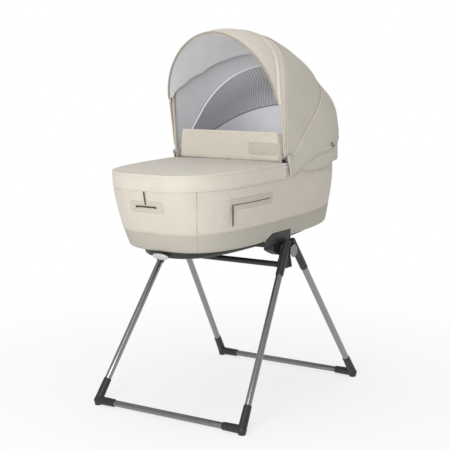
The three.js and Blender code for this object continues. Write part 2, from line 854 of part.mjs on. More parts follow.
/** Flat strip along an arch, with an eye round the pivot at each end. */
function bow(seam, inset) {
  const grid = (depth) =>
    [-1, 1].map((edge) =>
      shares().map((share) => {
        const middle = hoodPoint(share, seam, inset + depth, 4);
        const spread = Math.min(60, (bowWidth / 2 / middle.radius / degrees));
        return hoodPoint(share, constant(middle.angle + edge * spread), inset + depth, 4).at;
      }),
    );
  const strip = slab(grid(0), grid(bowThickness));
  const outer = hoodHalfWidth - inset;
  const inner = outer - bowThickness;
  const eyes = sides.map(([, y]) => disc(hoodPivotX, hoodPivotZ, y * inner, y * outer, bowHub, 24));
  const holes = sides.map(([, y]) =>
    disc(hoodPivotX, hoodPivotZ, y * (inner - 4), y * (outer + 4), pinRadius + fitGap, 16),
  );
  return cut(joined(strip, ...eyes), ...holes);
}

function rearPanel() {
  const whole = hoodPanel(constant(rearBowAngle - seamGap), constant(zipAngle + seamGap), 10, 0);
  return cut(solid(whole), windowSheet(0.6, hoodThickness + 8, -4));
}

/** The window's area; grow widens it by degrees for the opening. */
function windowSheet(grow, thickness, inset) {
  const reach = windowSpread + grow * 0.004;
  return hoodPanel(
    constant(windowTopAngle + grow),
    constant(windowBottomAngle - grow),
    6,
    inset,
    reach,
    thickness,
  );
}

function hoodCollar() {
  const top = range(3).map((i) => mix(zipAngle - seamGap, 0, i / 2));
  const row = (angle, depth) => shares().map((share) => hoodPoint(share, constant(angle), depth).at);
  const grid = (depth) => {
    const rows = top.map((angle) => row(angle, depth));
    rows.push(row(0, depth).map((p) => spot(p.x, p.y, hoodHem + cotPitch * p.x)));
    return rows;
  };
  return slab(grid(0), grid(hoodThickness));
}

piece("hood_rear_panel", rearPanel(), fabric);
piece("window_mesh", windowSheet(0, hoodThickness - 0.6, 0.3), meshCloth);
piece("hood_collar", hoodCollar(), fabric);
piece(
  "hood_mid_panel",
  hoodPanel((out) => bandSeam(out) - seamGap, constant(rearBowAngle + seamGap), 6, midInset),
  fabric,
);
piece("mid_bow", bow(constant(rearBowAngle - 2), midBowInset), plastic);
piece(
  "hood_front_band",
  hoodPanel(frontSeam, (out) => bandSeam(out) + seamGap, 2, bandInset),
  fabric,
);
piece("front_bow", bow((out) => (frontSeam(out) + bandSeam(out)) / 2, frontBowInset), plastic);
piece(
  "visor",
  hoodPanel(constant(visorFrontAngle), (out) => frontSeam(out) + seamGap, 4, visorInset, 0.76, hoodThickness, {
    halfWidth: visorHalfWidth,
  }),
  fabric,
);

for (const [side, y] of sides) {
  const outer = bracketOuter;
  const inner = outer - bracketThickness;
  const [y0, y1] = [y * inner, y * outer].sort((a, b) => a - b);
  const plate = joined(
    disc(hoodPivotX, hoodPivotZ, y0, y1, bowHub, 24),
    box(hoodPivotX - bowHub, hoodPivotX + bowHub, y0, y1, hoodPivotZ - 47, hoodPivotZ),
  );
  const hole = disc(hoodPivotX, hoodPivotZ, y * (inner - 1), y * (outer + 1), pinRadius + fitGap, 16);
  piece(`hood_bracket_${side}`, cut(plate, hole), plastic);
  piece(
    `hood_pin_${side}`,
    disc(hoodPivotX, hoodPivotZ, y * (inner - 1.5), y * (hoodHalfWidth - midBowInset - 0.2), pinRadius, 16),
    aluminium,
  );
}

/** Ring pull at the end of the hood's zip. */
function ringPull(side) {
  const frame = cut(solid(new THREE.BoxGeometry(26, 1.8, 11)), new THREE.BoxGeometry(19, 4, 5));
  return frame
    .rotateZ(side * ringTurn)
    .rotateY(ringTilt)
    .translate(ringX, side * ringSpread, ringZ);
}

for (const [side, y] of sides) piece(`hood_ring_pull_${side}`, ringPull(y), satin);

export default root;
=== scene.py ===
"""Bassinet on stand: the visual model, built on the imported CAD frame."""
import json
import math

import bmesh
import bpy
import numpy as np
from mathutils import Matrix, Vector, noise


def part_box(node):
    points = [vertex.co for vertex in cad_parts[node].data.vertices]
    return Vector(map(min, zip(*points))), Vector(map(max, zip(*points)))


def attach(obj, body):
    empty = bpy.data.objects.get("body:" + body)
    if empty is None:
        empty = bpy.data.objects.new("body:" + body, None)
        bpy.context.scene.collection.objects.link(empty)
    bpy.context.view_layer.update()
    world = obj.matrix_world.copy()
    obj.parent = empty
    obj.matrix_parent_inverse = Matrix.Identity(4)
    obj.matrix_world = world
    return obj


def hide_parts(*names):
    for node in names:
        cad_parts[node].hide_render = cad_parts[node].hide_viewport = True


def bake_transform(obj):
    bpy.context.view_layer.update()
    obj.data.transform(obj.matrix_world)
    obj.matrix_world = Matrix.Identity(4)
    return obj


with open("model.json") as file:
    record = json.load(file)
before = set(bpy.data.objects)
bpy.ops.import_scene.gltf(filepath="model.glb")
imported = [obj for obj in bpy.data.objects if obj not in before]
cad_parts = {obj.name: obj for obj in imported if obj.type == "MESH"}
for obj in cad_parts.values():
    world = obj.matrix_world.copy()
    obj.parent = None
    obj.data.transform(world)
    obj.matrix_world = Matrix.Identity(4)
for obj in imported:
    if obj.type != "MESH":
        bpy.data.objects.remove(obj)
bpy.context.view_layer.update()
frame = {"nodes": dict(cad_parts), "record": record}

MM = 0.001
RAD = math.pi / 180
SIDES = (("left", 1), ("right", -1))

# ---------- sizes shared with the CAD source, in millimetres ----------
APEX = 492
APEX_SPREAD = 198
BASE = 14
FOOT_REACH = 330
FOOT_SPREAD = 246
PITCH = 0.02
POWER = 3.3
RIM = 686
BOTTOM = 484
RIM_HALF = (427, 194.5)
BAND_TOP = 538
HEM = 657
QUILT = 62
APRON_TOP = 697.5
APRON_END = -12
PIVOT = (-9, 702)
HOOD_HALF = 199
LEG = 173
LEG_START = 16
LEG_SHARE = 0.22
SHARES = 121


def smooth(t):
    t = np.clip(t, 0, 1)
    return t * t * (3 - 2 * t)


def mix(a, b, t):
    return a + (b - a) * t


def along(knots, x):
    """Value at x of the smooth line through [x, value] knots, level at each knot."""
    x = np.asarray(x, float)
    value = np.full(x.shape, float(knots[0][1]))
    for (x0, v0), (x1, v1) in zip(knots, knots[1:]):
        value = np.where(x > x0, mix(v0, v1, smooth((x - x0) / (x1 - x0))), value)
    return value


def grain(x, y, z, size, seed=0.0):
    """Smooth noise from -1 to 1 over arrays of millimetres."""
    x, y, z = np.broadcast_arrays(x, y, z)
    flat = [
        noise.noise(Vector((a / size + seed, b / size - seed, c / size + 2 * seed)))
        for a, b, c in zip(x.ravel(), y.ravel(), z.ravel())
    ]
    return np.array(flat).reshape(x.shape)


# ---------- materials ----------
def colour(r, g, b):
    """Linear colour of 0 to 255 display values."""
    return [((c / 255 + 0.055) / 1.055) ** 2.4 for c in (r, g, b)] + [1.0]


class Shader:
    """A principled material, with nodes added a step at a time."""

    def __init__(self, name, rough, metal=0.0, sheen=0.0, specular=0.5):
        self.material = bpy.data.materials.new(name)
        self.material.use_nodes = True
        self.tree = self.material.node_tree
        self.out = self.tree.nodes["Principled BSDF"]
        values = {"Roughness": rough, "Metallic": metal, "Sheen Weight": sheen}
        values.update({"Sheen Roughness": 0.6, "Specular IOR Level": specular})
        for key, value in values.items():
            self.out.inputs[key].default_value = value
        self.place = self.node("ShaderNodeTexCoord").outputs["Object"]

    def node(self, kind, values=None, **props):
        made = self.tree.nodes.new(kind)
        for key, value in props.items():
            setattr(made, key, value)
        for key, value in (values or {}).items():
            self.set(made.inputs[key], value)
        return made

    def set(self, socket, value):
        if isinstance(value, bpy.types.NodeSocket):
            self.tree.links.new(value, socket)
        else:
            socket.default_value = value

    def maths(self, operation, a, b=0.0, clamp=False):
        return self.node("ShaderNodeMath", {0: a, 1: b}, operation=operation, use_clamp=clamp).outputs[0]

    def blend(self, amount, a, b, how="MIX"):
        made = self.node("ShaderNodeMix", {0: amount, 6: a, 7: b}, data_type="RGBA", blend_type=how)
        return made.outputs[2]

    def noise(self, size, vector=None, detail=3.0, rough=0.6):
        """Noise from 0 to 1 with features of about size, in millimetres."""
        values = {"Vector": vector or self.place, "Scale": 1000 / size}
        values.update({"Detail": detail, "Roughness": rough})
        return self.node("ShaderNodeTexNoise", values).outputs["Fac"]

    def levels(self, value, low, high):
        values = {"Value": value, "From Min": low, "From Max": high}
        return self.node("ShaderNodeMapRange", values).outputs[0]

    def stretched(self, x, y, z):
        return self.node("ShaderNodeMapping", {"Vector": self.place, "Scale": (x, y, z)}).outputs[0]

    def threads(self, cut=True):
        """Metres along the weft and the warp of the cut cloth, or along two directions in space."""
        if cut:
            flat = self.node("ShaderNodeUVMap", uv_map="cloth").outputs[0]
            parts = self.node("ShaderNodeSeparateXYZ", {0: flat})
            return parts.outputs[0], parts.outputs[1]
        dot = lambda v: self.node(
            "ShaderNodeVectorMath", {0: self.place, 1: v}, operation="DOT_PRODUCT"
        ).outputs["Value"]
        return dot((0.8, -0.75, 0.25)), dot((-0.22, 0.2, 1.0))

    def sine(self, value, pitch):
        """0 to 1 wave along a value in metres, with a pitch in millimetres."""
        wave = self.maths("SINE", self.maths("MULTIPLY", value, 2000 * math.pi / pitch))
        return self.maths("ADD", self.maths("MULTIPLY", wave, 0.5), 0.5)

    def bump(self, height, distance, strength=1.0):
        values = {"Height": height, "Distance": distance * MM, "Strength": strength}
        made = self.node("ShaderNodeBump", values)
        if self.out.inputs["Normal"].links:
            self.set(made.inputs["Normal"], self.out.inputs["Normal"].links[0].from_socket)
        self.set(self.out.inputs["Normal"], made.outputs[0])

    def paint(self, socket):
        self.set(self.out.inputs["Base Color"], socket)
        return self.material


def shade(rgb, factor):
    return [c * factor for c in rgb[:3]] + [1.0]


def woven(name, rgb, fleck=0.16, pitch=0.9, cut=True):
    """Melange cloth: crossed threads, long pale and dark flecks, slight blotches."""
    s = Shader(name, 0.92, sheen=0.2, specular=0.25)
    weft, warp = s.threads(cut)
    base = colour(*rgb)
    flat = s.node("ShaderNodeCombineXYZ", {0: weft, 1: warp}).outputs[0]
    across = s.node("ShaderNodeMapping", {"Vector": flat, "Scale": (0.16, 1, 1)}).outputs[0]
    down = s.node("ShaderNodeMapping", {"Vector": flat, "Scale": (1, 0.16, 1)}).outputs[0]
    one = s.levels(s.noise(1.1, across, 2.0), 0.3, 0.7)
    two = s.levels(s.noise(1.3, down, 2.0), 0.3, 0.7)
    mixed = s.maths("MULTIPLY", s.maths("ADD", one, two), 0.5)
    tone = s.blend(mixed, shade(base, 1 - fleck), shade(base, 1 + fleck * 0.8))
    blotch = s.levels(s.noise(70, None, 4.0), 0.3, 0.7)
    tone = s.blend(blotch, tone, s.blend(1.0, tone, (0.93, 0.93, 0.925, 1), "MULTIPLY"))
    weave = s.maths("MULTIPLY", s.sine(weft, pitch), s.sine(warp, pitch))
    tone = s.blend(s.maths("MULTIPLY", weave, 0.16), tone, shade(base, 0.72))
    s.bump(weave, 0.12, 0.7)
    s.bump(mixed, 0.16, 0.5)
    return s.paint(tone)


def smooth_cloth(name, rgb, pitch=0.7, cut=True):
    """Plain fine cloth with soft unevenness."""
    s = Shader(name, 0.85, sheen=0.1, specular=0.3)
    weft, warp = s.threads(cut)
    weave = s.maths("MULTIPLY", s.sine(weft, pitch), s.sine(warp, pitch))
    base = colour(*rgb)
    soft = s.levels(s.noise(45, None, 3.0), 0.25, 0.75)
    tone = s.blend(soft, shade(base, 0.96), shade(base, 1.03))
    tone = s.blend(s.maths("MULTIPLY", weave, 0.12), tone, shade(base, 0.8))
    s.bump(weave, 0.08, 0.6)
    s.bump(soft, 0.8, 0.25)
    return s.paint(tone)


def netting(name, rgb):
    """Knitted mesh: rows of fine holes, and curved ribs."""
    s = Shader(name, 0.8, sheen=0.1, specular=0.3)
    weft, warp = s.threads()
    holes = s.maths("MULTIPLY", s.sine(weft, 2.2), s.sine(warp, 1.9))
    base = colour(*rgb)
    centre = s.node("ShaderNodeVectorMath", {0: s.place, 1: (0.02, 0.2, 0.66)}, operation="DISTANCE")
    ribs = s.sine(centre.outputs["Value"], 6.2)
    tone = s.blend(s.levels(ribs, 0.1, 0.9), shade(base, 0.72), shade(base, 1.12))
    tone = s.blend(s.levels(holes, 0.35, 0.6), tone, shade(base, 0.45))
    s.bump(holes, -0.25, 0.8)
    s.bump(ribs, 0.4, 0.6)
    return s.paint(tone)


def leather(name, rgb):
    """Leatherette: fine cells between creases painted darker as shade, and slow changes of tone and gloss."""
    rough = 0.62
    s = Shader(name, rough, specular=0.35)
    base = colour(*rgb)
    cells = s.node("ShaderNodeTexVoronoi", {"Vector": s.place, "Scale": 620.0, "Randomness": 0.9})
    cells.feature = "DISTANCE_TO_EDGE"
    creases = s.levels(cells.outputs["Distance"], 0.0, 0.12)
    soft = s.levels(s.noise(38, None, 4.0), 0.3, 0.7)
    tone = s.blend(soft, shade(base, 0.94), shade(base, 1.05))
    # painted shade: the creases between the cells are darkened, following the same mask that sinks them as
    # bump
    tone = s.blend(creases, shade(base, 0.86), tone)
    s.bump(creases, 0.12, 0.5)
    s.bump(s.noise(0.9, None, 2.0), 0.05, 0.5)
    s.set(s.out.inputs["Roughness"], s.maths("ADD", s.maths("MULTIPLY", soft, 0.1), rough - 0.05))
    return s.paint(tone)


def moulded(name, rgb, rough=0.48, texture=0.5):
    """Moulded plastic: fine spark texture, soft scuffs that change the gloss."""
    s = Shader(name, rough, specular=0.45)
    base = colour(*rgb)
    fine = s.noise(0.55, None, 2.0)
    scuff = s.levels(s.noise(24, None, 6.0, 0.7), 0.35, 0.75)
    tone = s.blend(scuff, shade(base, 0.9), shade(base, 1.18))
    tone = s.blend(s.levels(fine, 0.3, 0.7), shade(base, 0.92), tone)
    s.bump(fine, 0.05 * texture, 0.6)
    s.set(s.out.inputs["Roughness"], s.maths("ADD", s.maths("MULTIPLY", scuff, 0.14), rough - 0.06))
    return s.paint(tone)


def metal(name, rgb, rough=0.3, direction=(1, 1, 1), how=1.0):
    """Satin metal with fine drawn lines and faint handling marks."""
    s = Shader(name, rough, metal=how, specular=0.5)
    base = colour(*rgb)
    lines = s.levels(s.noise(0.7, s.stretched(*direction), 3.0), 0.3, 0.7)
    marks = s.levels(s.noise(30, None, 5.0), 0.4, 0.8)
    tone = s.blend(lines, shade(base, 0.86), shade(base, 1.08))
    tone = s.blend(s.maths("MULTIPLY", marks, 0.5), tone, shade(base, 0.86))
    s.bump(lines, 0.02, 0.5)
    s.set(s.out.inputs["Roughness"], s.maths("ADD", s.maths("MULTIPLY", lines, 0.1), rough - 0.04))
    return s.paint(tone)


def braided(name, rgb):
    """Twisted thread or cord, its twist ridges painted lighter as highlight and its grooves painted darker as
    shade.
    """
    s = Shader(name, 0.8, sheen=0.1, specular=0.3)
    weft, warp = s.threads(False)
    twist = s.sine(s.maths("ADD", weft, warp), 1.6)
    cross = s.sine(s.maths("SUBTRACT", weft, warp), 1.6)
    base = colour(*rgb)
    s.bump(s.maths("MULTIPLY", twist, cross), 0.25, 0.8)
    # painted highlight on the twist ridges and painted shade in the grooves, following the bump height
    return s.paint(s.blend(s.maths("MULTIPLY", twist, cross), shade(base, 0.7), shade(base, 1.5)))


FABRIC = woven("body_melange", (197, 190, 178))
APRON = woven("cover_melange", (202, 195, 183))
HOOD = woven("hood_melange", (191, 185, 172))
VISOR = woven("visor_melange", (209, 202, 190))
PIPING = woven("piping_cloth", (210, 203, 191), fleck=0.08, pitch=0.7, cut=False)
HOOD_EDGE = woven("hood_edge_cloth", (188, 181, 168), fleck=0.1, pitch=0.7, cut=False)
SEAM = woven("seam_cloth", (160, 152, 138), fleck=0.1, pitch=0.7, cut=False)
BAND = leather("band_leatherette", (174, 169, 157))
PATCH = leather("patch_leatherette", (186, 180, 166))
TRIM = leather("trim_leatherette", (206, 199, 186))
LINING = smooth_cloth("lining_cotton", (232, 232, 236))
LINING_PALE = smooth_cloth("visor_lining_cotton", (246, 246, 248))
BINDING = smooth_cloth("binding_cotton", (222, 222, 226), cut=False)
WHITE = smooth_cloth("white_binding", (244, 244, 245), cut=False)
MATTRESS = smooth_cloth("mattress_cover", (226, 225, 221), pitch=1.1, cut=False)
NET = netting("window_netting", (205, 205, 209))
THREAD = braided("thread", (206, 198, 184))
DARK_THREAD = braided("dark_thread", (120, 112, 104))
ELASTIC = braided("elastic_cord", (44, 38, 32))
TAPE = woven("webbing_tape", (84, 76, 64), fleck=0.2, pitch=1.4, cut=False)
BLACK = moulded("black_moulding", (38, 37, 39))
BLACK_GLOSS = moulded("black_satin_moulding", (40, 39, 42), rough=0.4, texture=0.3)
GREY = moulded("grey_cap_moulding", (122, 124, 120), rough=0.4)
TUBE = metal("leg_aluminium", (150, 150, 154), 0.27, (1, 1, 0.04))
BASE_TUBE = metal("base_tube_aluminium", (136, 136, 139), 0.33, (1, 0.04, 1))
STEEL = metal("bolt_steel", (170, 170, 173), 0.3)
SATIN = metal("satin_silver_moulding", (196, 196, 200), 0.36, how=0.35)
GUNMETAL = metal("gunmetal_fitting", (104, 104, 108), 0.36)


# ---------- building pieces ----------
def settle(obj, body, replaces=()):
    """Puts a piece on a body, in the place of CAD nodes."""
    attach(obj, body)
    if replaces:
        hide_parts(*([replaces] if isinstance(replaces, str) else replaces))
    return obj


def mesh_object(name, points, faces, materials, which=None, cloth=None):
    """Object of millimetre points; doubled points are merged and its faces point outward."""
    data = bpy.data.meshes.new(name)
    data.from_pydata((np.asarray(points, float) * MM).tolist(), [], [list(map(int, f)) for f in faces])
    for m in materials:
        data.materials.append(m)
    if which is not None:
        data.polygons.foreach_set("material_index", list(map(int, which)))
    if cloth is not None:
        data.uv_layers.new(name="cloth").data.foreach_set("uv", np.concatenate(cloth).ravel() * MM)
    obj = bpy.data.objects.new(name, data)
    bpy.context.scene.collection.objects.link(obj)
    tidy(data)
    return obj


def tidy(data, merge=0.00002):
    """Merges doubled points, turns the faces outward and shades them smoothly."""
    bm = bmesh.new()
    bm.from_mesh(data)
    bmesh.ops.remove_doubles(bm, verts=bm.verts, dist=merge)
    bmesh.ops.dissolve_degenerate(bm, edges=bm.edges, dist=merge)
    bmesh.ops.recalc_face_normals(bm, faces=bm.faces)
    for f in bm.faces:
        f.smooth = True
    bm.to_mesh(data)
    bm.free()


def subdivide(obj):
    modifier = obj.modifiers.new("soften", "SUBSURF")
    modifier.levels = modifier.render_levels = 1
    return obj


def sheet(name, outer, inner, materials, ring=False, sub=True):
    """Closed thick cloth between two grids (rows, columns, xyz), with rounded free edges."""
    rows, cols = outer.shape[:2]
    points, faces, which = [outer.reshape(-1, 3), inner.reshape(-1, 3)], [], []
    closed = np.concatenate([outer, outer[:, :1]], axis=1) if ring else outer
    step = np.linalg.norm(np.diff(closed, axis=1), axis=2)
    weft = np.concatenate([[0], np.cumsum(step[step.sum(1).argmax()])])
    warp = np.concatenate([[0], np.cumsum(np.linalg.norm(np.diff(outer, axis=0), axis=2).max(1))])
    spot = [(weft[j], warp[i]) for i in range(rows) for j in range(cols)] * 2
    total = 2 * rows * cols

    def strip(a, b, past_a, past_b, past):
        nonlocal total
        middle = (a + b) / 2
        away = middle - (past_a + past_b) / 2
        away /= np.maximum(np.linalg.norm(away, axis=1, keepdims=True), 1e-6)
        middle = middle + away * np.linalg.norm(a - b, axis=1, keepdims=True) * 0.45
        points.append(middle)
        start = total
        total += len(middle)
        spot.extend(past)
        return np.arange(start, start + len(middle))

    index = np.arange(2 * rows * cols).reshape(2, rows, cols)
    last = cols if ring else cols - 1
    for i in range(rows - 1):
        for j in range(last):
            k = (j + 1) % cols
            faces.append((index[0, i, j], index[0, i, k], index[0, i + 1, k], index[0, i + 1, j]))
            which.append(0)
            faces.append((index[1, i, j], index[1, i + 1, j], index[1, i + 1, k], index[1, i, k]))
            which.append(1)
    edges = {}
    for key, at, near in (("first", 0, 1), ("last", -1, -2)):
        past = [(w, warp[at] + (1 if at else -1)) for w in weft[:cols]]
        middle = strip(outer[at], inner[at], outer[near], inner[near], past)
        edges[key] = middle
        for j in range(last):
            k = (j + 1) % cols
            faces.append((index[0, at, j], middle[j], middle[k], index[0, at, k]))
            faces.append((middle[j], index[1, at, j], index[1, at, k], middle[k]))
            which += [0, 1]
    if not ring:
        for at, near in ((0, 1), (-1, -2)):
            past = [(weft[at] + (1 if at else -1), w) for w in warp]
            middle = strip(outer[:, at], inner[:, at], outer[:, near], inner[:, near], past)
            for i in range(rows - 1):
                faces.append((index[0, i, at], index[0, i + 1, at], middle[i + 1], middle[i]))
                faces.append((middle[i], middle[i + 1], index[1, i + 1, at], index[1, i, at]))
                which += [0, 1]
            for row, key in ((0, "first"), (-1, "last")):
                end = edges[key][at]
                faces.append((index[0, row, at], middle[row], end))
                faces.append((middle[row], index[1, row, at], end))
                which += [0, 1]
    cloth = []
    for f in faces:
        flat = np.array([spot[k] for k in f])
        if ring and np.ptp(flat[:, 0]) > weft[-1] / 2:
            flat[flat[:, 0] < weft[-1] / 2, 0] += weft[-1]
        cloth.append(flat)
    obj = mesh_object(name, np.concatenate(points), faces, materials, which, cloth)
    return subdivide(obj) if sub else obj


def normals(grid, ring=False):
    """Unit normals of a grid of points."""
    if ring:
        wrapped = np.concatenate([grid[:, -1:], grid, grid[:, :1]], axis=1)
        across = (wrapped[:, 2:] - wrapped[:, :-2]) / 2
    else:
        across = np.gradient(grid, axis=1)
    normal = np.cross(np.gradient(grid, axis=0), across)
    return normal / np.maximum(np.linalg.norm(normal, axis=2, keepdims=True), 1e-9)


def raised(grid, amount, toward, ring=False):
    """The grid moved along its normals, on the side away from the point toward."""
    normal = normals(grid, ring)
    out = np.sign(np.sum(normal * (grid - np.array(toward)), axis=2, keepdims=True))
    out[out == 0] = 1
    return grid + normal * out * np.asarray(amount)[..., None]


def cord(name, path, radius, material, closed=False, sides=8, flat=1.0):
    """Round or flattened cord through points, with rounded ends."""
    path = np.asarray(path, float)
    count = len(path)
    ahead = np.roll(path, -1, axis=0) - np.roll(path, 1, axis=0)
    if not closed:
        ahead[0], ahead[-1] = path[1] - path[0], path[-1] - path[-2]
    ahead /= np.maximum(np.linalg.norm(ahead, axis=1, keepdims=True), 1e-9)
    up = np.array([0.0, 0, 1]) if abs(ahead[0][2]) < 0.9 else np.array([1.0, 0, 0])
    rings = []
    for i in range(count):
        up = up - ahead[i] * np.dot(up, ahead[i])
        up /= np.linalg.norm(up)
        side = np.cross(ahead[i], up)
        turn = np.arange(sides) * 2 * math.pi / sides
        rings.append(path[i] + radius * (np.cos(turn)[:, None] * side + flat * np.sin(turn)[:, None] * up))
    if not closed:
        for end, other in ((0, 1), (-1, -2)):
            away = -ahead[0] if end == 0 else ahead[-1]
            tip = path[end] + (rings[end] - path[end]) * 0.55 + away * radius * 0.7
            rings.insert(0, tip) if end == 0 else rings.append(tip)
    faces, n = [], len(rings)
    for i in range(n if closed else n - 1):
        for j in range(sides):
            k = (j + 1) % sides
            a, b = i * sides, ((i + 1) % n) * sides
            faces.append((a + j, a + k, b + k, b + j))
    if not closed:
        faces += [tuple(range(sides)), tuple(range((n - 1) * sides, n * sides))]
    return mesh_object(name, np.concatenate(rings), faces, [material])


def spaced(path, step, closed=False):
    """Points evenly spaced along a path."""
    path = np.asarray(path, float)
    if closed:
        path = np.concatenate([path, path[:1]])
    length = np.concatenate([[0], np.cumsum(np.linalg.norm(np.diff(path, axis=0), axis=1))])
    count = max(2, int(round(length[-1] / step)) + 1)
    at = np.linspace(0, length[-1], count)
    return np.stack([np.interp(at, length, path[:, i]) for i in range(3)], axis=1)


def stitches(name, path, material, closed=False, pitch=4.2, length=2.8, radius=0.38):
    """A row of thread stitches lying along a path."""
    path = spaced(path, pitch, closed)
    points, faces = [], []
    for a, b in zip(path, path[1:]):
        ahead = (b - a) / max(np.linalg.norm(b - a), 1e-9)
        up = np.array([0.0, 0, 1]) if abs(ahead[2]) < 0.9 else np.array([1.0, 0, 0])
        up = up - ahead * np.dot(up, ahead)
        up /= np.linalg.norm(up)
        side = np.cross(ahead, up)
        start = len(points)
        for t, r in ((-0.5, 0.35), (-0.25, 1), (0.25, 1), (0.5, 0.35)):
            for k in range(5):
                turn = k * 2 * math.pi / 5
                out = math.cos(turn) * side + math.sin(turn) * up
                points.append(a + ahead * length * t + radius * r * out)
        for i in range(3):
            for k in range(5):
                m = (k + 1) % 5
                row = start + i * 5
                faces.append((row + k, row + m, row + 5 + m, row + 5 + k))
        faces += [tuple(start + k for k in range(5)), tuple(start + 15 + k for k in range(5))]
    return mesh_object(name, points, faces, [material])


# ---------- stand ----------
def pipe(name, start, end, radius, wall, material, body, replaces, slot):
    """Open tube with softly rounded rims."""
    start, end = np.array(start, float), np.array(end, float)
    ahead = (end - start) / np.linalg.norm(end - start)
    side = np.cross(ahead, [0, 0, 1] if abs(ahead[2]) < 0.9 else [0, 1, 0])
    side /= np.linalg.norm(side)
    up = np.cross(side, ahead)
    length = np.linalg.norm(end - start)
    profile = [(0.4, radius - 0.3), (0, radius - 0.7), (0, radius - wall + 0.3), (2, radius - wall)]
    profile += [(length - 2, radius - wall), (length, radius - wall + 0.3), (length, radius - 0.7)]
    profile += [(length - 0.4, radius - 0.3), (length - 1.5, radius)]
    profile += [(mix(length - 1.5, 1.5, t), radius) for t in (0.25, 0.5, 0.75)] + [(1.5, radius)]
    turn = np.arange(40) * 2 * math.pi / 40
    out = np.cos(turn)[:, None] * side + np.sin(turn)[:, None] * up
    rings = [start + ahead * s + r * out for s, r in profile]
    faces = []
    for i in range(len(rings)):
        a, b = i * 40, ((i + 1) % len(rings)) * 40
        faces += [(a + j, a + (j + 1) % 40, b + (j + 1) % 40, b + j) for j in range(40)]
    return settle(mesh_object(name, np.concatenate(rings), faces, [material]), body, replaces)


def softened(node, material, voxel, smoothing=3):
    """Moulded look of a CAD node: its mesh rebuilt finely, with rounded edges."""
    source = frame["nodes"][node]
    copy = bpy.data.objects.new(f"{node}_moulding", source.data.copy())
    bpy.context.scene.collection.objects.link(copy)
    remesh = copy.modifiers.new("fine", "REMESH")
    remesh.mode, remesh.voxel_size, remesh.use_smooth_shade = "VOXEL", voxel * MM, True
    soft = copy.modifiers.new("round", "SMOOTH")
    soft.factor, soft.iterations = 0.5, smoothing
    graph = bpy.context.evaluated_depsgraph_get()
    made = bpy.data.meshes.new_from_object(copy.evaluated_get(graph))
    copy.modifiers.clear()
    copy.data = made
    made.materials.clear()
    made.materials.append(material)
    made.polygons.foreach_set("use_smooth", [True] * len(made.polygons))
    made.polygons.foreach_set("material_index", [0] * len(made.polygons))
    body = next(b for b, names in frame["record"]["behaviour"]["bodies"].items() if node in names)
    return settle(copy, body, node)


def leg_point(end, side, height):
    """Point on a leg's axis: the axes of front and rear legs would meet at the apex."""
    t = (APEX - height) / (APEX - BASE)
    return np.array([end * FOOT_REACH * t, side * mix(APEX_SPREAD, FOOT_SPREAD, t), height])


for label, end in (("front", -1), ("rear", 1)):
    body = f"{label}_frame"
    reach = FOOT_SPREAD - 12
    ends = [(end * FOOT_REACH, y, BASE) for y in (-reach, reach)]
    pipe(f"{label}_base_pipe", *ends, 9, 1.5, BASE_TUBE, body, f"{label}_base_tube", "aluminium")
    for name, y in SIDES:
        ends = [leg_point(end, y, z) for z in (30.5, 464.6)]
        pipe(f"{label}_leg_pipe_{name}", *ends, 9.5, 1.5, TUBE, body, f"{label}_leg_{name}", "aluminium")
        softened(f"{label}_foot_{name}", BLACK, 1.0, 4)
        softened(f"{label}_hub_socket_{name}", BLACK_GLOSS, 0.9, 3)
for name, y in SIDES:
    softened(f"hub_plate_{name}", BLACK, 1.0, 3)
    softened(f"adapter_{name}", BLACK, 1.2, 3)
    softened(f"receiver_{name}", BLACK, 1.2, 2)
    softened(f"hub_cap_{name}", GREY, 0.5, 3)
    softened(f"hood_ring_pull_{name}", GUNMETAL, 0.5, 2)
softened("cross_bar", BLACK, 1.4, 2)
softened("adjuster_knob", SATIN, 0.6, 4)


# ---------- cot ----------
def outline_at(level):
    up = np.clip((level - BOTTOM) / (RIM - BOTTOM), 0, 1)
    k = (1 - up) ** 1.6
    return 13 * k, RIM_HALF[0] - 55 * k, RIM_HALF[1] - 13.5 * k


AROUND = np.arange(240) / 240 * 2 * math.pi
AROUND = AROUND + 0.08 * np.sin(4 * AROUND)


def plan(turn, centre, length, width, height, power=POWER):
    c, s = np.cos(turn), np.sin(turn)
    r = (np.abs(c) ** power + np.abs(s) ** power) ** (-1 / power)
    x = centre + length * r * c
    return np.stack([x, width * r * s, height + PITCH * x], axis=-1)


def wall(level, offset=0.0, scale=1.0, height=None, turn=AROUND):
    centre, length, width = outline_at(level)
    height = level if height is None else height
    return plan(turn, centre, (length + offset) * scale, (width + offset) * scale, height)


def side_point(x, level, side, offset):
    centre, length, width = outline_at(level)
    share = np.abs((x - centre) / (length + offset)) ** POWER
    y = side * (width + offset) * (1 - share) ** (1 / POWER)
    return np.stack(np.broadcast_arrays(x, y, level + PITCH * x), -1)


def foot_point(y, level, offset):
    centre, length, width = outline_at(level)
    share = np.abs(y / (width + offset)) ** POWER
    x = centre - (length + offset) * (1 - share) ** (1 / POWER)
    return np.stack(np.broadcast_arrays(x, y, level + PITCH * x), -1)


def seam_dent(grid, depth, width):
    """Depth of grooves at the corners, with a slight swelling beside each."""
    dent = np.zeros(grid.shape[:2])
    for x, y in CORNERS:
        away = np.hypot(grid[..., 0] - x, grid[..., 1] - y)
        dent += 0.2 * depth * np.exp(-((away / width) ** 2))
        dent -= 0.1 * depth * np.exp(-(((away - 2.2 * width) / width) ** 2))
    return dent


def edge_round(level):
    return 9 * np.maximum(0, 1 - (level - BOTTOM) / 8) ** 2


CORNERS = [(x, y) for x in (-373, 388) for y in (-129, 129)]


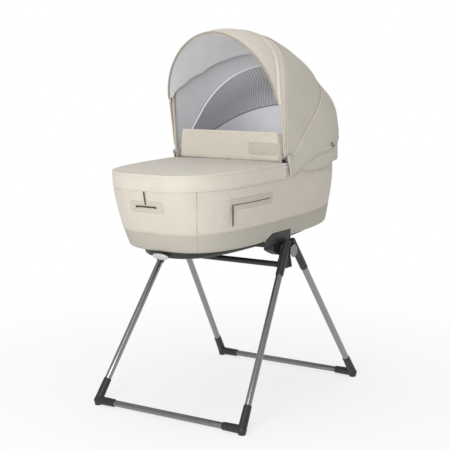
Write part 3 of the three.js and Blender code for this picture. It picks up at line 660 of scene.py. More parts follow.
def body_cover():
    levels = np.concatenate([[533, 536.5], np.linspace(539, 650, 26), [662, 676, 686, 690.5]])
    outer = np.stack([wall(z) for z in levels])
    rise = levels[:, None]
    offset = 1.1 * np.sin(np.clip((rise - 539) / 118, 0, 1) * math.pi)
    offset = offset - 2.4 * (rise < BAND_TOP) - 1.2 * smooth((rise - 652) / 10)
    ripple = 0.5 * grain(outer[..., 0], outer[..., 1], outer[..., 2] * 0.35, 34) + 0.35 * grain(
        outer[..., 0] * 2.5, outer[..., 1] * 2.5, outer[..., 2] * 0.3, 60, 3.1
    )
    lift = offset + ripple * (rise > 539) - seam_dent(outer, 0.9, 1.5)
    outer = raised(outer, lift, (0, 0, 600), True)
    inner = np.stack([wall(z, -3.7) for z in levels])
    return sheet("body_cover", outer, inner, [FABRIC, LINING], ring=True)


def cutter(side):
    """Solid of the notch in the cot's lower edge."""
    corners = [(-108, 440), (38, 440), (38, 507), (-71, 507), (-108, 491)]
    points = [(x, side * y, z) for y in (179.5, 230) for x, z in corners]
    faces = [tuple(range(5)), tuple(range(5, 10))]
    faces += [(i, (i + 1) % 5, (i + 1) % 5 + 5, i + 5) for i in range(5)]
    return mesh_object("cutter", points, faces, [])


def notched(obj):
    """Cuts the receivers' notches out of a piece."""
    for _, y in SIDES:
        tool = cutter(y)
        for f in tool.data.polygons:
            f.use_smooth = False
        modifier = obj.modifiers.new("notch", "BOOLEAN")
        modifier.operation, modifier.object, modifier.solver = "DIFFERENCE", tool, "EXACT"
        bake(obj)
        bpy.data.objects.remove(tool)
    return obj


def bake(obj):
    """Applies every modifier."""
    graph = bpy.context.evaluated_depsgraph_get()
    made = bpy.data.meshes.new_from_object(obj.evaluated_get(graph))
    obj.modifiers.clear()
    obj.data = made
    return obj


def lower_band():
    levels = np.array([484.2, 484.8, 486, 488.5, 492, 500, 512, 524, 532, 536, 538.2])
    outer = np.stack([wall(z, -edge_round(z) + 0.1) for z in levels])
    outer = np.concatenate([[wall(484.2, -16, height=484), wall(484.2, -12, height=484)], outer])
    rise = np.concatenate([[484, 484], levels])[:, None]
    swell = 0.9 * np.sin(np.clip((rise - 492) / 46, 0, 1) * math.pi) + 0.25 * grain(
        outer[..., 0], outer[..., 1], outer[..., 2], 46, 1.7
    ) * (rise > 490)
    swell = swell - 0.5 * np.exp(-(((rise - 533.5) / 1.3) ** 2))
    outer = raised(outer, swell - seam_dent(outer, 0.7, 1.4) * (rise > 490), (0, 0, 520), True)
    inner = np.stack([wall(z, -edge_round(z) - 1.5) for z in levels])
    inner = np.concatenate([[wall(484.2, -16, height=486), wall(484.2, -12.5, height=486)], inner])
    return notched(sheet("lower_band_cover", outer, inner, [BAND, BAND], ring=True, sub=False))


def underside():
    """Fabric under the cot, closing the shell below."""
    scales = np.array([1, 0.97, 0.9, 0.75, 0.5, 0.25, 0.04])
    outer = np.stack([wall(484.2, -11.5, s, 485.0 - 0.3 * (s < 0.95)) for s in scales])
    inner = np.stack([wall(484.2, -11.5, s, 488.5) for s in scales])
    return sheet("underside_cloth", outer, inner, [BAND, BAND], ring=True, sub=False)


def lining_cloth():
    base = 493.8
    floor = [wall(493, -6, s, base) for s in (0.05, 0.3, 0.6, 0.85, 0.97)]
    levels = np.concatenate([[500, 512], np.linspace(525, 684, 18), [690, 693]])
    outer = np.stack([wall(z, -4.5, 1, z) for z in levels])
    inner = np.stack([wall(z, -6.3, 1, z) for z in levels])
    fold = 1.6 * grain(inner[..., 0], inner[..., 1], inner[..., 2] * 0.25, 42, 5.5)
    fold = np.maximum(0, fold + 0.6) * smooth((levels[:, None] - 505) / 30)
    inner = raised(inner, -fold, (0, 0, 600), True)
    top = np.stack(floor)
    outer = np.concatenate([top, outer])
    inner = np.concatenate([top + [0, 0, 1.8], inner])
    return sheet("inner_lining_cloth", outer, inner, [LINING, LINING], ring=True, sub=False)


def rim_binding():
    """Padded binding over the rim."""
    turn = np.arange(14) / 14 * 2 * math.pi
    rows = [wall(RIM, -4.1 + 3.9 * np.cos(a), 1, 690.0 + 3.5 * np.sin(a)) for a in turn]
    grid = np.stack(rows)
    grid[..., 2] += 0.25 * grain(grid[..., 0], grid[..., 1], grid[..., 2], 22, 8)
    count = grid.shape[1]
    faces = []
    for i in range(14):
        for j in range(count):
            k, m = (j + 1) % count, (i + 1) % 14
            faces.append((i * count + j, i * count + k, m * count + k, m * count + j))
    return mesh_object("rim_binding", grid.reshape(-1, 3), faces, [BINDING])


def mattress_pad():
    """Quilted pad: crowned, with a piped edge and sunk stitching lines."""
    side = ((12, 496.2), (3, 496.6), (0.5, 500), (0, 508), (0, 518), (1.5, 524), (6, 527.4))
    rows = [wall(493, -20 - drop, 1, height) for drop, height in side]
    scales = (0.95, 0.9, 0.84, 0.77, 0.7, 0.62, 0.54, 0.46, 0.38, 0.3, 0.22, 0.14, 0.06)
    rows += [wall(493, -20, s, 528.4) for s in scales]
    bottom = [wall(493, -20, s, 496.0) for s in (0.05, 0.4, 0.8)]
    grid = np.stack(bottom + rows)
    top = grid[..., 2] > 527 + PITCH * grid[..., 0]
    along_x = np.abs(np.sin(grid[..., 0] / QUILT * math.pi)) ** 0.5
    along_y = np.abs(np.sin(grid[..., 1] / QUILT * math.pi + math.pi / 2)) ** 0.5
    quilt = along_x * along_y
    grid[..., 2] += np.where(top, 4.5 * quilt, 0)
    count = grid.shape[1]
    faces = [tuple(range(count)), tuple((len(grid) - 1) * count + j for j in range(count))]
    for i in range(len(grid) - 1):
        for j in range(count):
            k = (j + 1) % count
            faces.append((i * count + j, i * count + k, (i + 1) * count + k, (i + 1) * count + j))
    return subdivide(mesh_object("mattress_pad", grid.reshape(-1, 3), faces, [MATTRESS]))


def tray():
    """Moulded tray under the cot: soft lower edge, ribs round its wall."""
    def ring(height, offset, rib=0.0):
        grow = offset + rib * np.clip(np.cos(AROUND * 36) * 3, -1, 1)
        return plan(AROUND, 8, 350 + grow, 138 + grow, height, 3)

    def floor_rings(height):
        return [plan(AROUND, 8, 334 * s, 122 * s, height, 3) for s in (0.03, 0.3, 0.6, 0.9)]

    outer = floor_rings(462)
    outer += [ring(462, -16), ring(462.4, -12), ring(464, -8), ring(467, -4.5), ring(470, -2.4)]
    outer += [ring(472, -1.6, 0.3), ring(476, -0.8, 0.5), ring(480, -0.2, 0.5)]
    outer += [ring(482.4, 0, 0.2), ring(483.4, 0)]
    inner = floor_rings(465)
    inner += [ring(465, -17), ring(465.6, -14), ring(467, -11), ring(469.5, -7.8), ring(472, -5.6)]
    inner += [ring(474, -4.6), ring(477, -3.8), ring(480, -3.3), ring(482.4, -3), ring(483.4, -3)]
    return sheet("base_tray_moulding", np.stack(outer), np.stack(inner), [BLACK, BLACK], ring=True, sub=False)


settle(body_cover(), "cot", "body_shell")
settle(lower_band(), "cot", "lower_band")
settle(underside(), "cot")
settle(lining_cloth(), "cot", "inner_lining")
settle(rim_binding(), "cot", "rim_frame")
settle(mattress_pad(), "mattress", "mattress")
settle(tray(), "cot", "base_tray")
band_top = wall(BAND_TOP + 0.8, 0.5)
settle(cord("band_top_piping", band_top, 1.0, TRIM, closed=True), "cot")
band_line = wall(BAND_TOP - 4.5, 0.5)
settle(stitches("band_stitches", band_line, THREAD, closed=True, pitch=4.5), "cot")
for name, y in SIDES:
    corners = np.array([(-108, 486), (-108, 491), (-71, 507), (38, 507), (38, 486)], float)
    path = spaced(np.stack([corners[:, 0], np.zeros(5), corners[:, 1]], 1), 5)
    width = np.array([outline_at(z - PITCH * x)[2] for x, _, z in path])
    path[:, 1] = y * (width + 0.3)
    settle(cord(f"notch_piping_{name}", path, 1.3, TRIM), "cot")


def corner_seam(x, y, levels, offset):
    """Line down a rounded corner of the wall, upright as seen from the corner's side."""
    line = []
    for z, out in zip(levels, offset):
        ring = wall(z, out)
        ring = ring[(ring[:, 0] * x > 0) & (ring[:, 1] * y > 0)]
        lean = 0.842 * np.abs(ring[:, 1]) - 0.539 * np.abs(ring[:, 0])
        order = np.argsort(lean)
        line.append([np.interp(-89.4, lean[order], ring[order, k]) for k in range(3)])
    return np.array(line)


for n, (x, y) in enumerate(CORNERS):
    levels = np.linspace(541, 660, 15)
    path = corner_seam(x, y, levels, levels * 0 + 0.9)
    settle(cord(f"corner_seam_{n}", path, 0.7, SEAM), "cot")
    levels = np.linspace(486, 536, 9)
    path = corner_seam(x, y, levels, 0.6 - edge_round(levels))
    settle(cord(f"band_seam_{n}", path, 0.7, SEAM), "cot")


# ---------- fittings ----------
def patch(name, place, body, node, width, height, reach=6.0):
    """Rounded patch sewn to a wall; place(u, v, offset) works in millimetres from its middle."""
    u = np.linspace(-1, 1, 41)[None, :]
    v = np.linspace(-1, 1, 15)[:, None]
    past = np.clip((np.abs(v) * height / 2 - (height / 2 - reach)) / reach, 0, 1)
    corner = (1 - np.sqrt(np.maximum(0, 1 - past**2))) * reach
    x = np.sign(u) * (np.abs(u) * (width / 2) - corner * np.abs(u) ** 8)
    z = np.broadcast_to(v * height / 2, x.shape)
    swell = 0.5 * (1 - np.abs(u) ** 6) * (1 - np.abs(v) ** 4) + 0 * x
    outer = place(x, z, 2.3 + swell)
    inner = place(x, z, 0.5 + 0 * x)
    settle(sheet(name, outer, inner, [PATCH, PATCH]), body, node)
    inset = 3.0
    loop = []
    w, h, r = width / 2 - inset, height / 2 - inset, max(1.5, reach - inset)
    corners = ((w - r, h - r, 0), (-w + r, h - r, 90), (-w + r, -h + r, 180), (w - r, -h + r, 270))
    for cx, cz, first in corners:
        for k in range(6):
            a = (first + 18 * k) * RAD
            loop.append((cx + r * math.cos(a), 0, cz + r * math.sin(a)))
    loop = spaced(loop, 3.4, True)
    path = place(loop[:, 0], loop[:, 2], 2.55 + 0 * loop[:, 0])
    made = stitches(f"{name}_stitches", path, THREAD, pitch=3.4, length=2.3, radius=0.32)
    settle(made, body)


def zip_puller(name, side):
    """Hanging tab with a dark edge, on a wire slider."""
    body = f"zip_puller_{name}"
    low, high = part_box(body)
    cx, cy = (low[0] + high[0]) / 2 / MM, (low[1] + high[1]) / 2 / MM
    top, foot = high[2] / MM, low[2] / MM
    half = np.linspace(-1, 1, 7)

    def rows(out):
        grid = []
        for t in np.linspace(0, 1, 13):
            w = 2.6 + 0.9 * float(smooth(t * 4)) - 0.8 * float(smooth((t - 0.9) * 10))
            y = cy + side * (out + 0.3 * math.sin(t * 3))
            grid.append(np.stack([cx + w * half, y + 0 * half, mix(top - 7, foot + 1, t) + 0 * half], -1))
        return np.stack(grid)

    def line(*points):
        return [(cx + x, cy + side * y, z) for x, y, z in points]

    settle(sheet(f"zip_tab_{name}", rows(1.0), rows(-0.4), [TAPE, PATCH]), body, body)
    edge = line((3.4, 0.4, top - 10), (3.4, 0.6, mix(top, foot, 0.5)), (2.9, 0.4, foot + 2))
    settle(cord(f"zip_tab_edge_{name}", edge, 0.7, TAPE), body)
    wire = line((-2.5, 0.6, top - 6.5), (-2.8, 0.6, top - 2), (0, 0.8, top - 0.6), (2.8, 0.6, top - 2))
    wire += line((2.5, 0.6, top - 6.5))
    settle(cord(f"zip_slider_{name}", spaced(wire, 1.5), 0.8, GUNMETAL), body)


for name, y in SIDES:
    place = lambda u, v, o, y=y: side_point(-186 + u, 612 + v, y, o)
    patch(f"zip_placket_{name}", place, "cot", f"zip_patch_{name}", 196, 30)
    slit = np.stack([np.linspace(-86, 84, 40), np.zeros(40)], 1)
    path = place(slit[:, 0], slit[:, 1] - 0.5, 2.1)
    settle(cord(f"zip_slit_{name}", path, 2.0, TAPE, flat=0.8), "cot")
    teeth = place(slit[:, 0], slit[:, 1] - 0.5, 3.1)
    made = stitches(f"zip_teeth_{name}", teeth, GUNMETAL, pitch=2.4, length=1.3, radius=0.55)
    settle(made, "cot")
    zip_puller(name, y)

patch("foot_patch_leather", lambda u, v, o: foot_point(u, 613 + v, o), "cot", "foot_patch", 108, 30, 8)
ends = [foot_point(np.array([y]), 614, np.array([2.2])) for y in (-30.6, 30.6)]
path = np.concatenate([ends[0], foot_point(np.linspace(-30, 30, 25), 614, np.full(25, 5.0)), ends[1]])
settle(cord("foot_elastic", path, 1.9, ELASTIC), "cot", "foot_cord")
for name, y in (("left", 30.5), ("right", -30.5)):
    centre = foot_point(np.array(y), 614, np.array(2.5))
    turn = np.linspace(0, 2 * math.pi, 20, endpoint=False)
    ring = centre + np.stack([0 * turn, 3.4 * np.cos(turn), 3.4 * np.sin(turn)], -1)
    settle(cord(f"foot_eyelet_{name}", ring, 0.9, GUNMETAL, closed=True), "cot")
across = np.linspace(-2.2, 2.2, 5)
outer, inner = (
    np.stack([foot_point(across, z, o + 0 * across) for z in np.linspace(655, 619, 9)]) for o in (3.6, 2.5)
)
settle(sheet("foot_tab", outer, inner, [TAPE, TAPE]), "cot")


# ---------- foot cover ----------
def half_turn(count=161):
    """Turns that run round the foot end, from the cover's end on one side to the other."""
    turn = np.linspace(0, 1, 2001) * math.pi + math.pi / 2
    ring = plan(turn, 0, RIM_HALF[0], RIM_HALF[1], 0)
    inside = turn[ring[:, 0] <= APRON_END]
    even = np.linspace(inside[0], inside[-1], count)
    return even + 0.05 * np.sin(4 * even)


def cover():
    """Cover over the foot end: a skirt round the wall and a crowned top."""
    turn = half_turn()
    out = 2.6
    at = lambda level, offset, height: wall(level, offset, 1, height, turn)
    rows = [at(z, out, z) for z in (HEM, HEM + 1.5, HEM + 4, 662, 668, 674, 680)]
    rows += [wall(RIM, out, 1, z, turn) for z in (686, 691, 695, 698.0)]
    shoulder = ((0.5, 699.3), (1.6, 700.4), (3.4, 701.0), (8, 701.4))
    rows += [wall(RIM, out - d, 1, z, turn) for d, z in shoulder]
    edge = wall(RIM, out - 8, 1, 701.4, turn)
    shares = np.concatenate([np.linspace(0.97, 0.1, 20), [0.03]])
    for s in shares:
        row = edge.copy()
        row[:, 0] = APRON_END + (edge[:, 0] - APRON_END) * s
        row[:, 1] = edge[:, 1] * s
        row[:, 2] = 701.4 + PITCH * row[:, 0] + 1.6 * (1 - s * s)
        rows.append(row)
    outer = np.stack(rows)
    x, y, z = outer[..., 0], outer[..., 1], outer[..., 2]
    flat = np.arange(len(rows))[:, None] >= 14
    skirt = np.arange(len(rows))[:, None] < 9
    folds = 1.2 * grain(x * 0.5, y, z, 60, 2.2) + 0.5 * grain(x, y * 0.4, z, 30, 7.2)
    column = np.arange(outer.shape[1])[None, :]
    gather = 0.45 * np.sin(column * 0.9 + 2 * np.sin(column * 0.21)) * np.exp(-((z - PITCH * x - HEM) / 7))
    lift = np.where(flat, folds, 0) + np.where(skirt, gather + 0.35 * grain(x, y, z * 0.3, 40, 4.4), 0)
    outer = raised(outer, lift, (-150, 0, 600))
    outer[..., 0] = np.minimum(outer[..., 0], APRON_END)
    inner = raised(outer, -1.7 + 0 * lift, (-150, 0, 600))
    inner[..., 0] = np.minimum(inner[..., 0], APRON_END)
    return sheet("foot_cover", outer, inner, [APRON, LINING]), turn


cover_piece, cover_turn = cover()
settle(cover_piece, "apron", "apron")
settle(cord("cover_piping", wall(RIM, 2.6, 1, 699.4, cover_turn), 1.35, PIPING), "apron")
for name, level, offset, height in (("hem", HEM + 4, 2.9, HEM + 4.5), ("top", RIM, 3.0, 694.0)):
    path = wall(level, offset, 1, height, cover_turn)
    settle(stitches(f"cover_{name}_stitches", path, THREAD, pitch=4.6), "apron")


def flap():
    """Stand-up flap: a soft padded panel, its ends turned back toward the head."""
    cols, rows = 121, 25
    s = np.linspace(-1, 1, cols)[None, :]
    t = np.linspace(0, 1, rows)[:, None]
    half = mix(179.0, 172.0, t)
    end = np.clip((np.abs(s) - 0.94) / 0.06, 0, 1)
    top = np.clip((t - 0.82) / 0.18, 0, 1)
    corner = end * top
    height = 703.5 + 81.5 * t - 9 * corner**2
    y = np.sign(s) * (np.abs(s) * half - 3 * corner)
    lean = -3.0 * (t - 0.15)
    x = -11 + lean + 17 * end**1.6 + 0 * t
    x = x + 1.1 * grain(x, y, height * 1.4, 55, 6.1) + 0.5 * np.exp(-(((t - 0.36) / 0.05) ** 2))
    middle = np.stack(np.broadcast_arrays(x, y, height), -1)
    thick = 4.3 * (1 - (2 * t - 1) ** 8 * 0.75) * (1 - 0.55 * end**3)
    puff = 1.0 + 0.10 * grain(y * 1.0 + 0 * height, height, 0 * y, 26, 9.3)
    front = middle - np.stack(np.broadcast_arrays(thick * puff, 0 * y, 0 * y), -1)
    back = middle + np.stack(np.broadcast_arrays(thick * puff, 0 * y, 0 * y), -1)
    return sheet("foot_flap", front, back, [APRON, APRON]), middle, thick


flap_piece, flap_middle, flap_thick = flap()
settle(flap_piece, "apron_flap", "apron_flap")
edge = np.concatenate([flap_middle[2:-1, 0], flap_middle[-1, 2:-2], flap_middle[-2:1:-1, -1]])
settle(cord("flap_piping", spaced(edge, 5), 1.5, PIPING), "apron_flap")
row = flap_middle[-3, 6:-6] - [5.1, 0, 0]
settle(stitches("flap_stitches", row, THREAD, pitch=4.6), "apron_flap")


def on_flap(u, v, offset):
    """Points on the flap's face, from the middle of its patch."""
    z = 738 + v
    x = -11.0 - 3.0 * ((z - 703.5) / 81.5 - 0.15) - 4.4 - offset * 0.7
    return np.stack(np.broadcast_arrays(x, -119 + u, z), -1)


patch("flap_patch", on_flap, "apron_flap", (), 96, 34, 8)

# ---------- hood ----------
REACH = [(0, 446), (20, 458), (40, 405), (60, 388), (80, 384), (106, 386)]
ARCH_POWER = [(0, 2.9), (40, 2.45), (75, 2.0), (104, 1.9)]


def arch(share, angle, inset, foot=LEG_START, half=None):
    """Hood points at shares -1 to 1 from the right leg's foot over the top, and angles in degrees."""
    share, angle, inset = np.broadcast_arrays(np.asarray(share, float), angle, inset)
    power = along(ARCH_POWER, angle)
    swing = np.minimum(1, np.abs(share) / (1 - LEG_SHARE)) * math.pi / 2
    side = np.sin(swing) ** (2 / power)
    rise = np.maximum(0, np.cos(swing)) ** (2 / power)
    down = np.maximum(0, (np.abs(share) - 1 + LEG_SHARE) / LEG_SHARE)
    reach = along(REACH, angle) - inset
    radius = mix(LEG + (reach - LEG) * rise, foot, down)
    width = (HOOD_HALF - inset) if half is None else half
    return np.stack([
        PIVOT[0] + radius * np.cos(angle * RAD),
        width * np.sign(share) * side,
        PIVOT[1] + radius * np.sin(angle * RAD),
    ], -1)


def out_of(share):
    """How far out a share lies, 0 at the top and 1 on the legs."""
    swing = np.minimum(1, np.abs(share) / (1 - LEG_SHARE)) * math.pi / 2
    return np.sin(swing)


def down_of(share):
    return np.maximum(0, (np.abs(share) - 1 + LEG_SHARE) / LEG_SHARE)


front_seam = lambda share: 82.5 + 17.5 * out_of(share) ** 6
band_seam = lambda share: 73 + 17.5 * out_of(share) ** 4
rear_seam = lambda share: 38.2 - 10 * down_of(share) ** 2
SHARE = np.linspace(-1, 1, SHARES)
ARCH = SHARE[None, :]
INSIDE = (60, 0, 780)


def panel(
    name, first, last, inset, thick, materials,
    share=ARCH, rows=13, puff=0.0, seed=0.0, half=None, creases=0.5,
):
    """Hood panel between two seams, given as functions of the share."""
    t = np.linspace(0, 1, rows)[:, None]
    angle = mix(first(share), last(share), t)
    outer = arch(share, angle, inset, half=half)
    x, y, z = outer[..., 0], outer[..., 1], outer[..., 2]
    amount = puff * np.sin(math.pi * t) ** 0.7 * (1 - down_of(share) ** 2)
    amount = amount + creases * grain(x, y, z, 55, seed) * np.sin(math.pi * t) ** 0.5
    outer = raised(outer, amount, INSIDE)
    inner = raised(outer, -thick + 0 * amount, INSIDE)
    return sheet(name, outer, inner, materials), outer


def flat_size(grid):
    """Width and length of a sheet in metres, and its area in square metres."""
    across = np.linalg.norm(np.diff(grid, axis=1), axis=2).sum(1).max() * MM
    down = np.linalg.norm(np.diff(grid, axis=0), axis=2).sum(0).max() * MM
    a = grid[1:, 1:] - grid[:-1, :-1]
    b = grid[1:, :-1] - grid[:-1, 1:]
    area = np.linalg.norm(np.cross(a, b), axis=2).sum() / 2 * MM * MM
    return across, down, area


def cut_sheet(grid):
    across, down, area = flat_size(grid)
    area = min(max(area, 0.301 * across * down), across * down)


mid, mid_grid = panel(
    "hood_mid_cloth", lambda s: band_seam(s) - 0.1, lambda s: rear_seam(s) - 0.5, 3, 1.7,
    [HOOD, LINING], rows=17, puff=1.0, seed=1.3, creases=0.7,
)
settle(mid, "hood_mid", "hood_mid_panel")
band, band_grid = panel(
    "hood_band_cloth", front_seam, lambda s: band_seam(s) - 0.6, 6, 1.8,
    [VISOR, FABRIC], rows=7, puff=0.8, seed=4.2, creases=0.3,
)
settle(band, "hood_front", "hood_front_band")
visor, visor_grid = panel(
    "visor_cloth", lambda s: 104 + 0 * s, lambda s: front_seam(s) - 0.8, 8.8, 1.8,
    [VISOR, LINING_PALE], share=ARCH * 0.76, puff=1.6, seed=2.9, half=184.4, creases=0.3,
)
settle(visor, "visor", "visor")


def rear_cloth():
    """Outer cover of the rear panel: its lower edge laps over the collar and ends in a tip on each side."""
    rows = 19
    share = ARCH
    t = np.linspace(0, 1, rows)[:, None]
    out, down = out_of(share), down_of(share)
    zip_line = mix(9.0, 3.5, out**8)
    angle = mix(rear_seam(share) + 0.1, zip_line, t)
    outer = arch(share, angle, 0)
    # on the legs the lower edge follows a straight line to the tip
    upper = arch(share, rear_seam(share) + 0.1, 0)
    lower = (mix(163, 11, down), HOOD_HALF * np.sign(share), mix(712.5, 661, down))
    lower = np.stack(np.broadcast_arrays(*lower), -1)
    legs = upper + (lower - upper) * t[..., None]
    outer = np.where((down > 0)[..., None], legs, outer)
    x, y, z = outer[..., 0], outer[..., 1], outer[..., 2]
    puff = 3.2 * np.sin(math.pi * t) ** 0.7 * (1 - down) + 1.3 * t * t
    creases = 0.9 * grain(x, y, z, 48, 3.3) * np.sin(math.pi * t) ** 0.5
    outer = raised(outer, puff + creases, INSIDE)
    inner = raised(outer, -0.9 + 0 * puff, INSIDE)
    return sheet("hood_rear_cloth", outer, inner, [HOOD, LINING]), outer


def hem_at(x):
    """Height of the collar's hem."""
    return along([(15, 672), (63, 674), (130, 667), (200, 670), (300, 685), (430, 690)], x)


def collar_cloth():
    """Cloth between the hood's rear panel and the rim."""
    rows = 13
    share = np.linspace(-0.995, 0.995, SHARES)[None, :]
    out, down = out_of(share), down_of(share)
    top = arch(share, mix(12.5, 7.0, out**8), 1.6)
    base = arch(share, 0 * share, 1.6)
    legs = (mix(163, 22, down), (HOOD_HALF - 1.6) * np.sign(share), mix(719, 690, down))
    top = np.where((down > 0)[..., None], np.stack(np.broadcast_arrays(*legs), -1), top)
    base[..., 2] = hem_at(base[..., 0])
    base[..., 0] = np.where(down > 0, mix(163, 22, down), base[..., 0])
    t = np.linspace(0, 1, rows)[:, None, None]
    outer = top * (1 - t) + base * t
    tuck = np.sin(math.pi * t[..., 0]) * 1.4
    x, y, z = outer[..., 0], outer[..., 1], outer[..., 2]
    creases = 0.8 * grain(x, y, z * 0.5, 42, 8.3)
    outer = raised(outer, tuck + creases, INSIDE)
    inner = raised(outer, -1.4 + 0 * tuck, INSIDE)
    return sheet("hood_collar_cloth", outer, inner, [HOOD, LINING]), outer


rear, rear_grid = rear_cloth()
settle(rear, "cot", "hood_rear_panel")
collar, collar_grid = collar_cloth()
settle(collar, "cot", "hood_collar")


def ribbon(name, angle_of, inset, width, thick, material, share=ARCH, half=None):
    """Padded sleeve round a bow: a flat band along an arch."""
    angle = angle_of(share) + 0 * share
    ring = []
    for k in range(10):
        a = k * 36 * RAD
        spread = math.sin(a) * width / 2
        depth = inset + thick / 2 - math.cos(a) * thick / 2
        middle = arch(share, angle, depth, 4, half)[0]
        radius = np.hypot(middle[:, 0] - PIVOT[0], middle[:, 2] - PIVOT[1])
        turn = np.clip(spread / radius / RAD, -60, 60)
        ring.append(arch(share, angle + turn[None, :], depth, 4, half)[0])
    grid = np.stack(ring)
    count = grid.shape[1]
    faces = [tuple(k * count for k in range(10)), tuple(k * count + count - 1 for k in range(10))]
    for k in range(10):
        m = (k + 1) % 10
        columns = range(count - 1)
        faces += [(k * count + j, k * count + j + 1, m * count + j + 1, m * count + j) for j in columns]
    return mesh_object(name, grid.reshape(-1, 3), faces, [material])


sleeve_share = np.linspace(-0.985, 0.985, 141)[None, :]
middle_of_band = lambda s: (front_seam(s) + band_seam(s)) / 2
mid_sleeve = ribbon("mid_bow_sleeve", lambda s: 36.0, 5.4, 12, 3, BINDING, sleeve_share)
settle(mid_sleeve, "hood_mid", "mid_bow")
front_sleeve = ribbon("front_bow_sleeve", middle_of_band, 9.0, 12, 3, PIPING, sleeve_share)
settle(front_sleeve, "hood_front", "front_bow")


def arch_path(angle, inset, share=np.linspace(-0.97, 0.97, 151), half=None):
    """Line along an arch; angle is a number, or a function of the share."""
    at = angle(share) if callable(angle) else angle + 0 * share
    return arch(share[None, :], at[None, :], inset, half=half)[0]


front_share = np.linspace(-0.755, 0.755, 131)
seams = (
    ("rear_seam_piping", arch_path(lambda s: rear_seam(s) + 0.3, 1.2), 1.6, PIPING, "cot"),
    ("band_seam_piping", arch_path(lambda s: band_seam(s) + 0.05, 4.0), 1.5, HOOD_EDGE, "hood_mid"),
    ("front_seam_piping", arch_path(lambda s: front_seam(s) + 0.1, 6.6), 1.5, HOOD_EDGE, "hood_front"),
    ("visor_piping", arch_path(104.3, 9.4, front_share, half=183.8), 2.9, SEAM, "visor"),
)
for name, path, radius, material, body in seams:
    settle(cord(name, path, radius, material), body)
# piped lower edge of the rear cover
edge = rear_grid[-1, 3:-3] - [0, 0, 0.4]
settle(cord("rear_edge_piping", edge, 1.3, HOOD_EDGE, flat=0.9), "cot")
just_above = lambda line: line + (line - INSIDE) * 0.0022
rows = (
    ("visor_stitches", arch_path(102.4, 8.5, front_share, half=184.7), 4.6, "visor"),
    ("mid_stitches", arch_path(lambda s: rear_seam(s) + 1.6, 2.1), 4.6, "hood_mid"),
    ("rear_zip_stitches", just_above(rear_grid[-3, 4:-4]), 4.8, "cot"),
    ("collar_stitches", just_above(collar_grid[-2, 4:-4]), 4.8, "cot"),
)
for name, path, pitch, body in rows:
    settle(stitches(name, path, THREAD, pitch=pitch), body)


def lip():
    """Folded edge of the front band that closes down over the visor."""
    share = ARCH * 0.79
    t = np.linspace(0, 1, 5)[:, None]
    high = arch(share, front_seam(share) - 0.3, 6.3)
    low = arch(share, front_seam(share) + 1.3, 7.9, half=185.6)
    outer = mix(high, low, t[..., None])
    return sheet("band_lip", outer, raised(outer, -0.7 + 0 * outer[..., 0], INSIDE), [VISOR, FABRIC])


settle(lip(), "hood_front")
for name, y in SIDES:
    t = np.linspace(0, 1, 11)[:, None]
    u = np.linspace(0, 1, 7)[None, :]

    def ear(front, back, top, foot, at):
        """Cloth that hides the end of the bows: its edges run from the top to the foot."""
        x = mix(mix(front[0], front[1], t), mix(back[0], back[1], t), u)
        z = mix(top, foot, t) + 0 * u + 5 * (0.5 - np.abs(u - 0.5)) * (t < 0.05)
        return np.stack([x, y * at + 0 * x, z], -1)

    shape = ((-12, 5), (13, 15), 721, 661)
    made = sheet(f"hood_ear_{name}", ear(*shape, 200.7), ear(*shape, 199.6), [HOOD, HOOD])
    settle(made, "cot")
    front_edge = [(-12, y * 200.2, 721), (-8, y * 200.3, 709), (-2, y * 200.3, 690), (5, y * 200.2, 662)]
    settle(cord(f"hood_ear_piping_{name}", spaced(front_edge, 4), 1.2, PIPING), "cot")
    shape = ((-21, -21), (14, 14), 726, 686)
    made = sheet(f"hood_ear_lining_{name}", ear(*shape, 181.7), ear(*shape, 180.7), [FABRIC, FABRIC])
    settle(made, "cot")


def visor_lining():
    """Loose lining that hangs under the front of the hood."""
    knots = [(0, 58), (0.27, 58), (0.61, 61.5), (0.87, 68.5), (0.97, 82.5), (1.0, 100)]
    share = ARCH * 0.757
    t = np.linspace(0, 1, 19)[:, None]
    out = out_of(share)
    rear = np.interp(out, *zip(*knots))
    angle = mix(103.4, rear, t)
    inset = 11.6 + 10.5 * smooth(t * 1.6)
    outer = arch(share, angle, inset, half=181.5)
    sag = 2.0 * np.sin(math.pi * t) * (1 - out**4)
    x, y, z = outer[..., 0], outer[..., 1], outer[..., 2]
    outer = raised(outer, -sag + 1.2 * grain(x, y, z, 70, 12.1) * t, INSIDE)
    inner = raised(outer, -0.9 + 0 * sag, INSIDE)
    return sheet("visor_lining", outer, inner, [LINING_PALE, LINING_PALE]), outer


lining_piece, lining_grid = visor_lining()
start = tuple(arch(np.array([[0.0]]), 99.0, 12)[0, 0] * MM)
stop = tuple(arch(np.array([[0.0]]), 78.0, 12)[0, 0] * MM)
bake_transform(lining_piece)


def inner_layer(name, first, last, inset, thick, material, rows, share, seed):
    t = np.linspace(0, 1, rows)[:, None]
    outer = arch(share, mix(first, last, t) + 0 * share, inset)
    x, y, z = outer[..., 0], outer[..., 1], outer[..., 2]
    outer = raised(outer, 0.8 * grain(x, y, z, 60, seed) * np.sin(math.pi * t), INSIDE)
    inner = raised(outer, -thick + 0 * x, INSIDE)
    return sheet(name, outer, inner, [material, material]), outer


inner_share = np.linspace(-0.96, 0.96, SHARES)[None, :]
net, net_grid = inner_layer("window_net", 44.5, 19.5, 13.2, 0.7, NET, 9, inner_share, 5.2)
settle(net, "cot", "window_mesh")
pale, pale_grid = inner_layer("rear_lining", 19.3, 2.5, 13.2, 0.8, LINING, 9, inner_share, 6.6)
settle(pale, "cot")
line = np.linspace(-0.955, 0.955, 151)
settle(cord("window_top_binding", arch_path(44.8, 13.0, line), 2.4, WHITE), "cot")
settle(cord("window_low_binding", arch_path(19.4, 13.4, line), 1.6, DARK_THREAD), "cot")


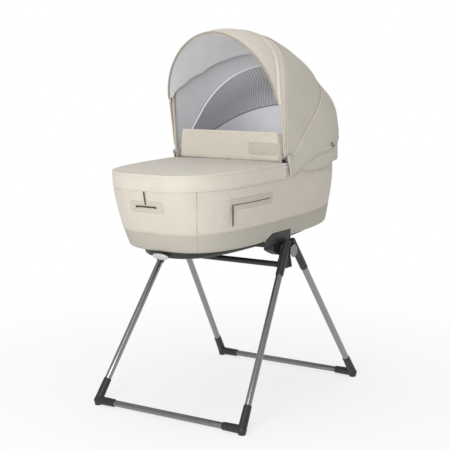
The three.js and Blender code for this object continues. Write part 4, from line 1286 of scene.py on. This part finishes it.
for obj, grid, supports in (
    (mid, mid_grid, ["mid_bow_sleeve"]),
    (band, band_grid, ["front_bow_sleeve"]),
    (visor, visor_grid, ["hood_band_cloth"]),
    (rear, rear_grid, ["rim_binding"]),
    (collar, collar_grid, ["rim_binding"]),
    (lining_piece, lining_grid, ["visor_cloth"]),
    (net, net_grid, ["hood_rear_cloth"]),
    (pale, pale_grid, ["hood_rear_cloth"]),
):
    cut_sheet(grid)

# ---------- kept CAD nodes ----------
for node, material in (("pivot_bolt", STEEL), ("pivot_spacer", BLACK), ("release_catch", BLACK_GLOSS),
                       ("hood_bracket", BLACK), ("hood_pin", BLACK)):
    for name, _ in SIDES:
        data = frame["nodes"][f"{node}_{name}"]
        for s in data.material_slots:
            s.material = material
        bevel = data.modifiers.new("edge", "BEVEL")
        bevel.width, bevel.segments, bevel.limit_method, bevel.angle_limit = 0.3 * MM, 2, "ANGLE", 40 * RAD

# ---------- floor, light and camera ----------
def floor():
    """Pale floor that glows white away from the object."""
    corners = [(x * 9000, y * 9000, -0.2) for x, y in ((-1, -1), (1, -1), (1, 1), (-1, 1))]
    obj = mesh_object("floor", corners, [(0, 1, 2, 3)], [])
    s = Shader("floor_pale", 0.9, specular=0.1)
    far = s.node("ShaderNodeVectorMath", {0: s.place, 1: (0, 0, 0)}, operation="DISTANCE").outputs["Value"]
    s.paint(s.blend(s.levels(s.noise(400), 0.2, 0.8), (0.86, 0.86, 0.86, 1), (0.88, 0.88, 0.88, 1)))
    glow = s.node("ShaderNodeEmission", {"Color": (1, 1, 1, 1), "Strength": 1.0})
    values = {"Value": far, "From Min": 0.3, "From Max": 1.4, "To Min": 0.7, "To Max": 1.0}
    fade = s.node("ShaderNodeMapRange", values)
    mixed = s.node("ShaderNodeMixShader", {0: fade.outputs[0], 1: s.out.outputs[0], 2: glow.outputs[0]})
    s.set(s.tree.nodes["Material Output"].inputs["Surface"], mixed.outputs[0])
    obj.data.materials.append(s.material)


def lamp(name, place, toward, size, power, tint=(1, 1, 1)):
    data = bpy.data.lights.new(name, "AREA")
    data.shape, data.size, data.energy, data.color = "DISK", size, power, tint
    obj = bpy.data.objects.new(name, data)
    bpy.context.scene.collection.objects.link(obj)
    obj.location = place
    obj.rotation_euler = (Vector(toward) - Vector(place)).to_track_quat("-Z", "Y").to_euler()


def studio():
    """White room: full white to the camera, softer as light."""
    world = bpy.context.scene.world or bpy.data.worlds.new("studio")
    bpy.context.scene.world = world
    world.use_nodes = True
    tree = world.node_tree
    tree.nodes.clear()
    path = tree.nodes.new("ShaderNodeLightPath")
    mixed = tree.nodes.new("ShaderNodeMixShader")
    out = tree.nodes.new("ShaderNodeOutputWorld")
    tree.links.new(path.outputs["Is Camera Ray"], mixed.inputs[0])
    for socket, strength in ((1, 0.55), (2, 1.0)):
        light = tree.nodes.new("ShaderNodeBackground")
        light.inputs["Color"].default_value = (1, 1, 1, 1)
        light.inputs["Strength"].default_value = strength
        tree.links.new(light.outputs[0], mixed.inputs[socket])
    tree.links.new(mixed.outputs[0], out.inputs["Surface"])


floor()
studio()
lamp("key", (-3.0, -0.9, 1.4), (0.1, 0, 0.8), 1.6, 70)
lamp("top", (0.3, 0.4, 3.4), (0, 0, 0.6), 2.4, 20)
bpy.context.scene.view_settings.view_transform = "Standard"

lens = bpy.data.cameras.new("camera")
camera = bpy.data.objects.new("camera", lens)
bpy.context.scene.collection.objects.link(camera)
lens.lens, lens.sensor_width = 88, 36
lens.shift_x, lens.shift_y = -0.0133, 0.010
camera.location = (-2.7221, -1.7409, 0.9807)
camera.rotation_euler = (Vector((0, 0, 0.492)) - camera.location).to_track_quat("-Z", "Y").to_euler()
bpy.context.scene.camera = camera
